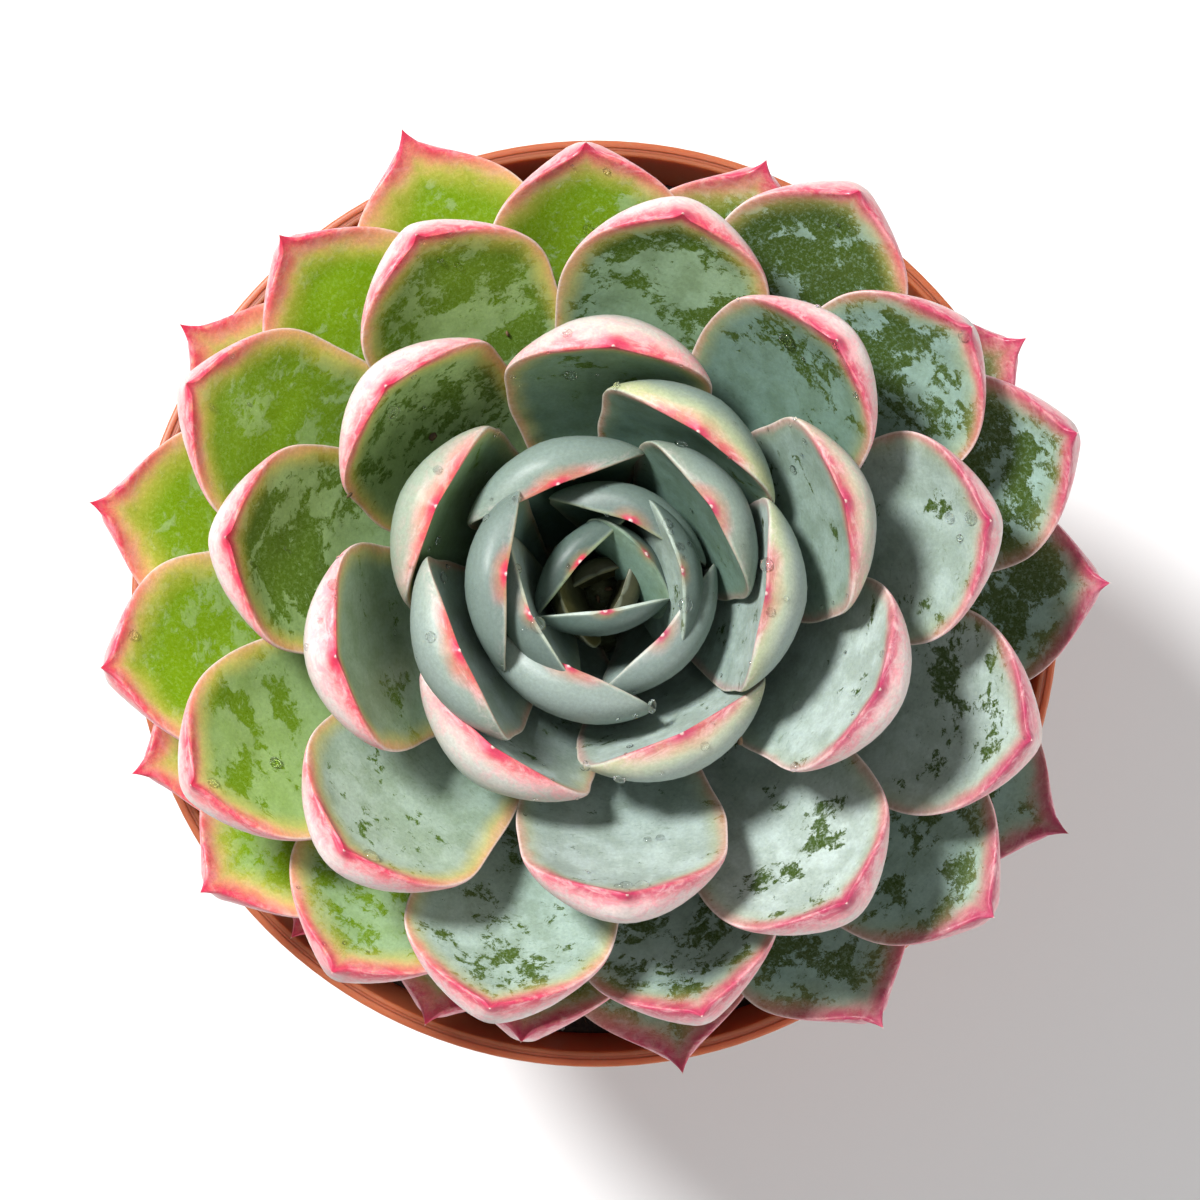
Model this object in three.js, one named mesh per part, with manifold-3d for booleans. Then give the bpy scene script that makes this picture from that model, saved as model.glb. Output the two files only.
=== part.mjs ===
// A rosette succulent potted in a round plastic pot, 120 mm across its rim.
// Millimetres, +Z up. The origin is the centre of the pot's flat underside, which stands at z = 0.
//
// Every leaf grows from the stem in one spiral. Leaf 0 is the youngest, at the crown, and each
// older leaf sits a little lower, turned by the golden angle. A leaf's rank sets its size and its
// form; two readings of the real plant, the bearing and the reach of the tip, then place it.

import * as THREE from 'three';
import { ParametricGeometry } from 'three/addons/geometries/ParametricGeometry.js';
import { mergeVertices } from 'three/addons/utils/BufferGeometryUtils.js';
import Module from 'manifold-3d';

const wasm = await Module();
wasm.setup();

// ---------------------------------------------------------------- driving dimensions

const CLEARANCE = 0.3;              // between any two pieces that touch on the real plant
const CUT_TOLERANCE = 0.08;         // small facets that a cut leaves are merged within this
const SLIVER = 1e-6;                // an overlap or an offset smaller than this is none
const MERGE_WITHIN = 1e-4;          // vertices closer together than this are one
const RANDOM = { factor: 1664525, step: 1013904223, range: 2 ** 32 };

const POT = {
  height: 92,
  rimRadius: 60,
  lipWidth: 2,
  collarHeight: 11,
  collarStep: 3.2,                  // the wall below the collar is set in by this much
  collarTaper: 0.9,                 // the collar's foot is this much inside the rim
  collarSlope: 0.6,                 // and its underside rises by this much on the way out
  baseRadius: 42.5,
  wall: 1.5,
  floor: 2.2,
  edge: 0.7,                        // height of the small chamfers on the rim and the foot
  rimChamfer: 0.42,                 // width of the rim's
  segments: 64,
};
const DRAIN = { count: 6, radius: 4.2, circle: 27, sides: 12, cut: 6.6 };   // cut: through the floor

const SOIL = {
  belowRim: 12,                     // round the stem
  bank: 4.5,                        // it lies this much higher at the wall
  bankFrom: 0.6,                    // where it starts to rise, as a share of the radius
  rings: 8,
  segments: 40,
  swell: 0.8,                       // height of the long swells of the surface
  swellLength: [48, 37],            // millimetres from crest to crest along X and Y
  swellShift: [7.7, -11.8],         // where they start
  grain: 1.1,                       // height of the random grain on top of them
  seed: 7,
};

const STEM = {
  depthInSoil: 26,
  footRadius: 4.6,
  sides: 14,
  rows: 9,
  insideRoots: 0.5,                 // its surface lies this far inside the leaves' roots
  crown: 0.6,                       // its top stands this far above leaf 0's root
};

const CROWN_Z = POT.height + 22;    // where leaf 0 leaves the stem
const RANK_STEP = 0.48;             // how much lower each older leaf sits
const GOLDEN_ANGLE = 137.508;       // degrees
const FIRST_BEARING = 113;          // bearing of leaf 0, degrees from +X towards +Y

// How a leaf changes with age: each row is a measure at these ranks, joined by straight lines.
const AGE = {
  rank:      [0,   4,   8,   13,  18,  24,  31,  38,  46,  54,  62],
  rootPitch: [84,  86,  65,  55,  51,  39,  32,  25,  18,  15,  11],   // degrees above level
  tipPitch:  [90,  98,  103, 105, 92,  79,  64,  50,  38,  31,  29],   // past 90 it leans inwards
  bend:      [1.5, 2.5, 1.6, 1.7, 2.4, 1.9, 4.0, 3.2, 4.0, 4.0, 4.0],  // high: bends near the tip
  length:    [6,   15,  22,  29,  36,  43,  48,  53,  57,  58,  56],
  thickness: [2.2, 2.8, 3.9, 4.8, 5.1, 5.3, 5.3, 5.2, 5.0, 4.4, 4.0],
  cup:       [.15, .12, .20, .12, .12, .18, .24, .22, .20, .17, .12],  // rise of the margins
  roll:      [0,   5,   0,   -3,  -1,  -5,  5,   7,   6,   0,   0],    // degrees about the midrib
  rootOut:   [1.8, 3.2, 5.6, 7.1, 7.6, 7.9, 8.0, 8.0, 7.0, 7.0, 7.0],  // radius where it starts
  bluntness: [1,   1,   1,   1,   1,   .85, .7,  .6,  .35, .05, 0],    // 1 rounded, 0 pointed
};
const FULL_WIDTH = 25;
const WIDTH_START = 3;              // ranks that leaf 0 is ahead of having no width
const WIDTH_RANKS = 7;              // ranks in which the width closes on its full value
const ROOT_SINK = 0.8;              // the root starts this far inside rootOut
const STRETCH = 0.13;               // how far a leaf's length may stray from its age's
const PITCH_RANGE = [-55, 30];      // degrees that the tip may be turned to reach its place
const MIDRIB_STEPS = 80;

// Half width along a leaf, as a share of the largest. Pairs are for a pointed and a blunt leaf.
const OUTLINE = {
  atRoot: 0.28,
  risePower: 1.3,
  widestAt: 0.72,                   // share of the length
  bladeEnd: [0.957, 0.983],         // past it only the fine point goes on
  fallPower: [2.6, 3.0],            // high: it stays wide for longer
  closePower: [1.2, 0.46],          // low: it closes more bluntly
  point: 0.09,                      // half width of the fine point where the blade ends
  pointPower: 1.4,                  // over 1: hollow flanks
  pointRoot: 1.3,                   // the point starts this many of its lengths from the tip
  joinPower: 2.5,                   // high: a sharper corner between blade and point
};

// Thickness along a leaf, as a share of the largest.
const FULLNESS = {
  atRoot: 0.5,
  fullAt: 0.9,                      // share of the length
  risePower: 1.6,
  closesAt: 0.82,                   // share of the length where it starts to close
  fallPower: 3,                     // high: it stays full for longer
  closePower: 0.55,                 // low: it closes more bluntly
};

// The section across a leaf.
const SECTION = {
  marginPower: 0.65,                // low: thick right up to the margin
  deepest: 1.7,                     // greatest thickness as a share of the half width
  cupFrom: 0.35,                    // share of the length in which the cup grows to its full value
  rollFrom: 0.3,                    // and the roll
};

// Read off the real plant, for each leaf that shows: rank, bearing of the tip in degrees,
// and distance of the tip from the pot's axis in mm.
const LEAF_TIPS = [
  [3, 36, 7.4], [4, 273, 3.1], [5, 134, 3.8], [6, 9, 9.2], [7, 203, 9.3], [8, 67, 8], [9, 319, 9],
  [10, 176, 11.3], [11, 35, 14.8], [12, 247, 10.4], [13, 115, 12.6], [14, 355, 18.3],
  [15, 206, 18.4], [16, 58, 20], [17, 297, 19.6], [18, 156, 21.3], [19, 18, 28.7], [20, 236, 23],
  [21, 88, 27.1], [22, 338, 33.6], [23, 196, 32], [24, 46, 38.2], [25, 274, 36.1], [26, 138, 34.3],
  [27, 9, 45.4], [28, 226, 43.1], [29, 78, 44.1], [30, 307, 46.6], [31, 173, 44.7], [32, 35, 53.3],
  [33, 255, 51.2], [34, 118, 47.3], [35, 340, 53.6], [36, 206, 53.9], [37, 57, 56.2],
  [38, 283, 52.4], [39, 154, 55.4], [40, 18, 59.9], [41, 235, 56.2], [42, 92, 54.7],
  [43, 320, 61.6], [44, 189, 61.2], [46, 260, 55.9], [47, 132, 59.2], [48, 1, 62.8],
  [49, 217, 61.3], [50, 69, 58.1], [51, 303, 63.9], [52, 170, 64.1], [53, 31, 62.4],
  [54, 248, 57.8], [55, 113, 63.6], [56, 333, 65.8], [57, 201, 62.5], [59, 280, 60.9],
  [60, 147, 63.3], [62, 228, 58.1],
];
const BUD_RANKS = [0, 1, 2];        // still joined to the crown, so they are part of the stem
const BUD_REACH = [1.6, 2.4, 5.2];

// Sections along a leaf, closer together where its outline turns, and points round a section.
const STATIONS = [0, 0.16, 0.34, 0.52, 0.68, 0.81, 0.90, 0.955, 1];
const SECTION_SIDES = 8;

const GREEN_FROM = 40;              // from this rank on, leaves have the old leaves' full colour
const MATERIALS = {
  pot: { color: 0xb5603f, roughness: 0.45, metalness: 0 },
  soil: { color: 0x2c1d14, roughness: 1, metalness: 0 },
  stem: { color: 0x7f8f5c, roughness: 0.8, metalness: 0 },
  youngLeaf: { color: 0xa9bdb2, roughness: 0.6, metalness: 0 },
  oldLeaf: { color: 0x7f9b4e, roughness: 0.55, metalness: 0 },
};

// ---------------------------------------------------------------- closed solids

const radians = THREE.MathUtils.degToRad;

// Signed volume of an indexed mesh: positive when its faces point out.
function signedVolume(positions, indices) {
  const a = new THREE.Vector3();
  const b = new THREE.Vector3();
  const c = new THREE.Vector3();
  let sum = 0;
  for (let i = 0; i < indices.length; i += 3) {
    a.fromArray(positions, indices[i] * 3);
    b.fromArray(positions, indices[i + 1] * 3);
    c.fromArray(positions, indices[i + 2] * 3);
    sum += a.dot(b.cross(c)) / 6;
  }
  return sum;
}

// A closed geometry as a solid: vertices merged, collapsed triangles dropped, faces turned out.
function toSolid(geometry) {
  const bare = geometry.clone();
  bare.deleteAttribute('normal');
  bare.deleteAttribute('uv');
  const merged = mergeVertices(bare, MERGE_WITHIN);
  const positions = merged.attributes.position.array;
  const source = merged.index.array;
  const triangles = [];
  for (let i = 0; i < source.length; i += 3) {
    const [a, b, c] = [source[i], source[i + 1], source[i + 2]];
    if (a !== b && b !== c && c !== a) triangles.push(a, b, c);
  }
  if (signedVolume(positions, triangles) < 0) triangles.reverse();
  return new wasm.Manifold(new wasm.Mesh({
    numProp: 3,
    vertProperties: new Float32Array(positions),
    triVerts: new Uint32Array(triangles),
  }));
}

function toGeometry(solid) {
  const mesh = solid.getMesh();
  const geometry = new THREE.BufferGeometry();
  geometry.setAttribute('position', new THREE.BufferAttribute(mesh.vertProperties, 3));
  geometry.setIndex(new THREE.BufferAttribute(mesh.triVerts, 1));
  geometry.computeVertexNormals();
  return geometry;
}

// The largest body of a cut solid, so that no scrap stays behind, with its smallest facets merged.
function cleaned(solid) {
  const bodies = solid.simplify(CUT_TOLERANCE).decompose();
  return bodies.reduce((best, body) => (body.volume() > best.volume() ? body : best));
}

function lathe(profile, segments) {
  const points = profile.map(([radius, height]) => new THREE.Vector2(radius, height));
  return new THREE.LatheGeometry(points, segments).rotateX(Math.PI / 2);
}

function namedMesh(name, geometry, material) {
  const mesh = new THREE.Mesh(geometry, new THREE.MeshStandardMaterial(material));
  mesh.name = name;
  return mesh;
}

// Random numbers from 0 to 1 that come out the same each time.
function seededRandom(seed) {
  let state = seed;
  return () => {
    state = (state * RANDOM.factor + RANDOM.step) % RANDOM.range;
    return state / RANDOM.range;
  };
}

// ---------------------------------------------------------------- pot

const soilTop = POT.height - SOIL.belowRim;

// Inner radius of the pot at a height: the wall's taper from the floor to the lip.
function potInnerRadius(z) {
  const share = (z - POT.floor) / (POT.height - POT.floor);
  const foot = POT.baseRadius - POT.wall;
  return foot + (POT.rimRadius - POT.lipWidth - foot) * share;
}

// A tapered wall with a collar round the rim, a flat underside and a ring of drain holes.
function makePot() {
  const collarBottom = POT.height - POT.collarHeight;
  const rimInner = POT.rimRadius - POT.lipWidth;
  const profile = [
    [0, 0],
    [POT.baseRadius - POT.edge, 0],
    [POT.baseRadius, POT.edge],
    [POT.rimRadius - POT.collarStep, collarBottom],
    [POT.rimRadius - POT.collarTaper, collarBottom + POT.collarSlope],
    [POT.rimRadius, POT.height - POT.edge],
    [POT.rimRadius - POT.rimChamfer, POT.height],
    [rimInner, POT.height],
    [potInnerRadius(POT.floor), POT.floor],
    [0, POT.floor],
  ];
  let solid = toSolid(lathe(profile, POT.segments));
  for (let i = 0; i < DRAIN.count; i += 1) {
    const turn = (i / DRAIN.count) * 2 * Math.PI;
    const hole = new THREE.CylinderGeometry(DRAIN.radius, DRAIN.radius, DRAIN.cut, DRAIN.sides)
      .rotateX(Math.PI / 2)
      .translate(DRAIN.circle * Math.cos(turn), DRAIN.circle * Math.sin(turn), POT.floor / 2);
    solid = solid.subtract(toSolid(hole));
  }
  return solid;
}

// ---------------------------------------------------------------- soil

// Rise of the soil towards the wall, at a share of its radius.
function soilBank(share) {
  return SOIL.bank * THREE.MathUtils.smoothstep(share, SOIL.bankFrom, 1);
}

// Relief of the soil's surface: long swells and a grain that differs from vertex to vertex.
function soilRelief(x, y, topRadius, grains) {
  const inside = Math.hypot(x, y) / topRadius;
  const alongX = (2 * Math.PI * (x + SOIL.swellShift[0])) / SOIL.swellLength[0];
  const alongY = (2 * Math.PI * (y + SOIL.swellShift[1])) / SOIL.swellLength[1];
  const sector = Math.round((Math.atan2(y, x) / (2 * Math.PI) + 1) * SOIL.segments);
  const ring = Math.round((1 - inside) * SOIL.rings);
  const grain = grains[ring * SOIL.segments + (sector % SOIL.segments)];
  return SOIL.swell * Math.sin(alongX) * Math.cos(alongY) + SOIL.grain * grain;
}

// The soil fills the pot to a little below the rim and is banked up towards the wall. It has no
// relief at its edge and at its centre.
function makeSoil() {
  const bottom = POT.floor + CLEARANCE;
  const profile = [[0, bottom], [potInnerRadius(bottom) - CLEARANCE, bottom]];
  const topRadius = potInnerRadius(soilTop + SOIL.bank) - CLEARANCE;
  for (let ring = 0; ring <= SOIL.rings; ring += 1) {
    const share = 1 - ring / SOIL.rings;
    profile.push([topRadius * share, soilTop + soilBank(share)]);
  }
  const geometry = lathe(profile, SOIL.segments);
  const position = geometry.attributes.position;
  const random = seededRandom(SOIL.seed);
  const grains = Array.from({ length: SOIL.segments * (SOIL.rings + 1) }, () => random() - 0.5);
  for (let i = 0; i < position.count; i += 1) {
    const [x, y, z] = [position.getX(i), position.getY(i), position.getZ(i)];
    const ring = Math.round((1 - Math.hypot(x, y) / topRadius) * SOIL.rings);
    const onTop = z > soilTop - CLEARANCE;
    if (!onTop || ring === 0 || ring === SOIL.rings) continue;
    position.setZ(i, z + soilRelief(x, y, topRadius, grains));
  }
  return toSolid(geometry);
}

// ---------------------------------------------------------------- leaves

// A measure of the AGE table at a rank.
function atRank(measure, rank) {
  const ranks = AGE.rank;
  const values = AGE[measure];
  let i = 0;
  while (i < ranks.length - 2 && rank > ranks[i + 1]) i += 1;
  const share = THREE.MathUtils.clamp((rank - ranks[i]) / (ranks[i + 1] - ranks[i]), 0, 1);
  return values[i] + (values[i + 1] - values[i]) * share;
}

function leafWidth(rank) {
  return FULL_WIDTH * (1 - Math.exp(-(rank + WIDTH_START) / WIDTH_RANKS));
}

// Half width as a share of the largest: a sine rise from the root, a rounded fall past the
// widest place, and a fine point with hollow flanks at the very end.
function outline(s, rank) {
  const { clamp, lerp } = THREE.MathUtils;
  const pick = (pair) => lerp(...pair, atRank('bluntness', rank));
  if (s <= OUTLINE.widestAt) {
    const rise = Math.sin((Math.PI / 2) * (s / OUTLINE.widestAt)) ** OUTLINE.risePower;
    return lerp(OUTLINE.atRoot, 1, rise);
  }
  const bladeEnd = pick(OUTLINE.bladeEnd);
  const t = clamp((s - OUTLINE.widestAt) / (bladeEnd - OUTLINE.widestAt), 0, 1);
  const blade = (1 - t ** pick(OUTLINE.fallPower)) ** pick(OUTLINE.closePower);
  const fromTip = clamp((1 - s) / (1 - bladeEnd), 0, OUTLINE.pointRoot);
  const point = OUTLINE.point * fromTip ** OUTLINE.pointPower;
  return (blade ** OUTLINE.joinPower + point ** OUTLINE.joinPower) ** (1 / OUTLINE.joinPower);
}

// Thickness as a share of the largest: half at the root, full near the tip, then closing round.
function fullness(s) {
  const rise = Math.sin((Math.PI / 2) * Math.min(s / FULLNESS.fullAt, 1)) ** FULLNESS.risePower;
  const t = THREE.MathUtils.clamp((s - FULLNESS.closesAt) / (1 - FULLNESS.closesAt), 0, 1);
  const close = (1 - t ** FULLNESS.fallPower) ** FULLNESS.closePower;
  return THREE.MathUtils.lerp(FULLNESS.atRoot, 1, rise) * close;
}

// The midrib: its pitch turns from the root's to the tip's as s to the power of the bend.
function midrib(rank, tipPitch) {
  const rootPitch = atRank('rootPitch', rank);
  const pitch = (s) => radians(rootPitch + (tipPitch - rootPitch) * s ** atRank('bend', rank));
  const points = [new THREE.Vector2(0, 0)];
  for (let i = 0; i < MIDRIB_STEPS; i += 1) {
    const p = pitch((i + 0.5) / MIDRIB_STEPS);
    const step = new THREE.Vector2(Math.cos(p), Math.sin(p)).divideScalar(MIDRIB_STEPS);
    points.push(points[i].clone().add(step));
  }
  const at = (s) => {
    const place = THREE.MathUtils.clamp(s, 0, 1) * MIDRIB_STEPS;
    const i = Math.min(Math.floor(place), MIDRIB_STEPS - 1);
    return points[i].clone().lerp(points[i + 1], place - i);
  };
  return { at, pitch };
}

// The length and the tip's pitch that bring a leaf's tip out to its reach, found by halving.
function fitLeaf(rank, reach) {
  const out = reach - atRank('rootOut', rank) + ROOT_SINK;
  const usualLength = atRank('length', rank);
  const usualPitch = atRank('tipPitch', rank);
  const stretch = out / (midrib(rank, usualPitch).at(1).x * usualLength);
  const length = usualLength * THREE.MathUtils.clamp(stretch, 1 - STRETCH, 1 + STRETCH);
  let [low, high] = PITCH_RANGE.map((turn) => usualPitch + turn);
  while (high - low > SLIVER) {
    const middle = (low + high) / 2;
    if (midrib(rank, middle).at(1).x * length > out) low = middle;
    else high = middle;
  }
  return { length, tipPitch: low };
}

// One leaf pointing along +X, with its margins towards -Y and +Y. grow swells it on all sides.
function leafGeometry(rank, reach, grow = 0) {
  const { length, tipPitch } = fitLeaf(rank, reach);
  const rib = midrib(rank, tipPitch);
  const rootX = atRank('rootOut', rank) - ROOT_SINK;
  const rootZ = CROWN_Z - RANK_STEP * rank;
  const fullCup = atRank('cup', rank);
  const fullRoll = radians(atRank('roll', rank));

  // A point of the section at s: across is -1 to 1, and under picks the lower face.
  function sectionPoint(s, across, under, target) {
    const half = 0.5 * leafWidth(rank) * outline(s, rank) + grow;
    const cup = fullCup * Math.min(s / SECTION.cupFrom, 1);
    const slope = Math.hypot(1, 2 * cup * across);
    const normal = [-(2 * cup * across) / slope, 1 / slope];
    const thickest = Math.min(atRank('thickness', rank) * fullness(s), SECTION.deepest * half);
    const thickness = thickest * Math.max(1 - across ** 2, 0) ** SECTION.marginPower;
    const lift = Math.abs(across) < 1 - SLIVER ? grow : 0;
    const away = under ? -(thickness + lift) : lift;
    const side = across * half + normal[0] * away;
    const up = cup * across ** 2 * half + normal[1] * away;
    const roll = fullRoll * Math.min(s / SECTION.rollFrom, 1);
    const turnedSide = side * Math.cos(roll) - up * Math.sin(roll);
    const turnedUp = side * Math.sin(roll) + up * Math.cos(roll);
    const centre = rib.at(s).multiplyScalar(length);
    const pitch = rib.pitch(s);
    return target.set(
      rootX + centre.x - Math.sin(pitch) * turnedUp,
      turnedSide,
      rootZ + centre.y + Math.cos(pitch) * turnedUp,
    );
  }

  // u goes once round the section and v along the leaf. The first row is drawn together at the
  // middle of the root, and the last at the point, which closes both ends.
  function surface(u, v, target) {
    const row = v * STATIONS.length - 1;
    if (row < -SLIVER) {
      const under = -0.5 * atRank('thickness', rank) * fullness(0);
      return target.set(
        rootX - Math.sin(rib.pitch(0)) * under,
        0,
        rootZ + Math.cos(rib.pitch(0)) * under,
      );
    }
    const i = THREE.MathUtils.clamp(Math.floor(row + SLIVER), 0, STATIONS.length - 2);
    const s = THREE.MathUtils.lerp(STATIONS[i], STATIONS[i + 1], Math.max(row - i, 0));
    if (s > 1 - SLIVER) {
      const tip = rib.at(1).multiplyScalar(length);
      return target.set(rootX + tip.x, 0, rootZ + tip.y);
    }
    return sectionPoint(s, Math.cos(2 * Math.PI * u), u > 0.5 + SLIVER, target);
  }
  return new ParametricGeometry(surface, SECTION_SIDES, STATIONS.length);
}

function leafSolid([rank, bearing, reach], grow = 0) {
  return toSolid(leafGeometry(rank, reach, grow).rotateZ(radians(bearing)));
}

// ---------------------------------------------------------------- stem

// A short thick stem under the leaves' roots: as wide as they leave it, down into the soil.
function stemSolid(grow = 0) {
  const bottom = soilTop - STEM.depthInSoil;
  const lastRank = AGE.rank[AGE.rank.length - 1];
  const profile = [[0, bottom - grow], [STEM.footRadius + grow, bottom - grow]];
  for (let row = 0; row <= STEM.rows; row += 1) {
    const rank = lastRank * (1 - row / STEM.rows);
    const radius = atRank('rootOut', rank) - STEM.insideRoots;
    profile.push([radius + grow, CROWN_Z - RANK_STEP * rank]);
  }
  profile.push([0, CROWN_Z + STEM.crown + grow]);
  return toSolid(lathe(profile, STEM.sides));
}

function budBearing(rank) {
  return FIRST_BEARING - GOLDEN_ANGLE * rank;
}

// ---------------------------------------------------------------- assembly

// Leaves give way to what is younger: each is cut back by the stem and the younger leaves that
// press into it, all swelled by the clearance.
function makePlant() {
  const swelledStem = stemSolid(CLEARANCE);
  const buds = BUD_RANKS.map((rank) => [rank, budBearing(rank), BUD_REACH[rank]]);
  const stem = buds.reduce((body, bud) => body.add(leafSolid(bud)), stemSolid());
  const pressing = buds.map((bud) => leafSolid(bud, CLEARANCE));
  pressing.push(swelledStem);
  const leaves = LEAF_TIPS.map((tip) => {
    let solid = leafSolid(tip);
    for (const other of pressing) {
      if (solid.intersect(other).volume() > SLIVER) solid = solid.subtract(other);
    }
    pressing.push(leafSolid(tip, CLEARANCE));
    return { rank: tip[0], bearing: tip[1], solid: cleaned(solid) };
  });
  return { stem: cleaned(stem), swelledStem, leaves };
}

const plant = makePlant();
const group = new THREE.Group();

const planting = new THREE.Group();
planting.add(namedMesh('pot', toGeometry(makePot()), MATERIALS.pot));
planting.add(namedMesh('soil', toGeometry(makeSoil().subtract(plant.swelledStem)), MATERIALS.soil));
group.add(planting);

const rosette = new THREE.Group();
rosette.add(namedMesh('stem', toGeometry(plant.stem), MATERIALS.stem));
const young = new THREE.Color(MATERIALS.youngLeaf.color);
const old = new THREE.Color(MATERIALS.oldLeaf.color);
for (const { rank, bearing, solid } of plant.leaves) {
  const turn = radians(bearing);
  const geometry = toGeometry(solid).rotateZ(-turn);
  const color = young.clone().lerp(old, Math.min(rank / GREEN_FROM, 1));
  const leaf = namedMesh(`leaf_${String(rank).padStart(2, '0')}`, geometry, {
    ...MATERIALS.oldLeaf,
    color,
  });
  leaf.rotation.z = turn;
  rosette.add(leaf);
}
group.add(rosette);

export default group;
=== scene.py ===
"""A rosette succulent in a round plastic pot of dark soil, dressed over its packed CAD model.

Every leaf, the stem, the soil and the pot are worked out again from the measures of the CAD, on
denser grids, and each takes the place of its CAD node. Formulas are in millimetres and degrees,
with the pot's axis as z; meshes are made in metres.
"""

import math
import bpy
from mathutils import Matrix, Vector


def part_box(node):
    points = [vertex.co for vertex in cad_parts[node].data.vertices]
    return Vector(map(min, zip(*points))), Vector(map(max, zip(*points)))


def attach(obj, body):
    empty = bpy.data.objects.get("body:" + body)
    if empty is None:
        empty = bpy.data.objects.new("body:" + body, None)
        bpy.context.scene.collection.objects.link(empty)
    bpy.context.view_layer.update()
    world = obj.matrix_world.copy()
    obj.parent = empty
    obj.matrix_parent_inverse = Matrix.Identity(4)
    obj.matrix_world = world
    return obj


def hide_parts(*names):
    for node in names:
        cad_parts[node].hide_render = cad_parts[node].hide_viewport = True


bl_info = {
    "name": "Potted Succulent",
    "version": (1, 0, 0),
    "blender": (4, 5, 0),
    "location": "View3D > Sidebar > Succulent",
    "description": "Dresses the CAD model of a rosette succulent in a plastic pot",
    "category": "Object",
}

import bpy
import numpy as np
from bpy.props import FloatProperty, FloatVectorProperty, IntProperty, PointerProperty
from mathutils import Matrix, Vector

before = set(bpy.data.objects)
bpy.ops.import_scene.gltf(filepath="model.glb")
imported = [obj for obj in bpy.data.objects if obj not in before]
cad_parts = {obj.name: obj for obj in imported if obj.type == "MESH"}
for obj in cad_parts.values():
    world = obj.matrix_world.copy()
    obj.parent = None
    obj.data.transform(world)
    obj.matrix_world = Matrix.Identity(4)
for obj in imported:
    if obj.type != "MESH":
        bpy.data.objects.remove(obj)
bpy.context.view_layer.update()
POT_LOW, POT_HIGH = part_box("pot")

MM = 0.001
ROOM = 0.3  # left between pieces that touch on the real plant

# ------------------------------------------------------------------ measures of the plant

RIM = POT_HIGH[2] / MM  # height of the pot's rim
CROWN = RIM + 22  # height of the youngest leaf's root
RANK_STEP = 0.48  # each older leaf starts this much lower
GOLDEN_ANGLE = 137.508
FIRST_BEARING = 113  # bearing of leaf 0
OLDEST = 62  # the last rank

# Measures of a leaf by its rank in the spiral, 0 being the youngest.
AGE = {
    "rank": [0, 4, 8, 13, 18, 24, 31, 38, 46, 54, 62],
    "root_pitch": [84, 86, 65, 55, 51, 39, 32, 25, 18, 15, 11],
    "tip_pitch": [90, 98, 103, 105, 92, 79, 64, 50, 38, 31, 29],
    "bend": [1.5, 2.5, 1.6, 1.7, 2.4, 1.9, 4.0, 3.2, 4.0, 4.0, 4.0],
    "length": [6, 15, 22, 29, 36, 43, 48, 53, 57, 58, 56],
    "thickness": [2.2, 2.8, 3.9, 4.8, 5.1, 5.3, 5.3, 5.2, 5.0, 4.4, 4.0],
    "cup": [0.15, 0.12, 0.20, 0.12, 0.12, 0.18, 0.24, 0.22, 0.20, 0.17, 0.12],
    "roll": [0, 5, 0, -3, -1, -5, 5, 7, 6, 0, 0],
    "root_out": [1.8, 3.2, 5.6, 7.1, 7.6, 7.9, 8.0, 8.0, 7, 7, 7],
    "bluntness": [1, 1, 1, 1, 1, 0.85, 0.7, 0.6, 0.35, 0.05, 0],
}
FULL_WIDTH = 25
WIDTH_START = 3  # ranks that leaf 0 is ahead of having no width
WIDTH_RANKS = 7  # ranks in which the width closes on its full value
ROOT_SINK = 0.8  # the root starts this far inside root_out
STRETCH = 0.13  # how far a leaf's length may stray from its age's
PITCH_RANGE = (-55, 30)  # degrees that the tip may be turned to reach its place
HALVINGS = 24
MIDRIB_STEPS = 80

# Half width along a leaf, as a share of the largest. Pairs are for a pointed and a blunt leaf.
OUTLINE = {
    "at_root": 0.28, "rise_power": 1.3, "widest_at": 0.72, "blade_end": (0.957, 0.983),
    "fall_power": (2.6, 3.0), "close_power": (1.2, 0.46), "point": 0.09, "point_power": 1.4,
    "point_root": 1.3, "join_power": 2.5,
}
# Thickness along a leaf, as a share of the largest.
FULLNESS = {
    "at_root": 0.5, "full_at": 0.9, "rise_power": 1.6, "closes_at": 0.82, "fall_power": 3,
    "close_power": 0.55,
}
# The section across a leaf: deepest is its greatest thickness as a share of the half width, and
# the cup and the roll grow to their full values in the last two shares of the length.
SECTION = {"margin_power": 0.65, "deepest": 1.7, "cup_from": 0.35, "roll_from": 0.3}
TOWARDS_TIP = 1.5  # high: a leaf's rows lie closer together near its tip

# Ripples of a margin: each a share of the half width, waves along the leaf in radians, and
# shifts with the rank and across the leaf.
RIPPLES = ((0.018, 11, 1.7, 2.1), (0.010, 27, 1, -3))
KEEL = (0.25, 0.35)  # height in mm and width across of the swelling under the tip
CREASE = (0.18, 0.14)  # and of the fold on the upper face
ROUNDING = 0.45  # mm by which the margin bends down
DENTS = (5.5, 2.2)  # sizes of the soft dents in mm

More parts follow.
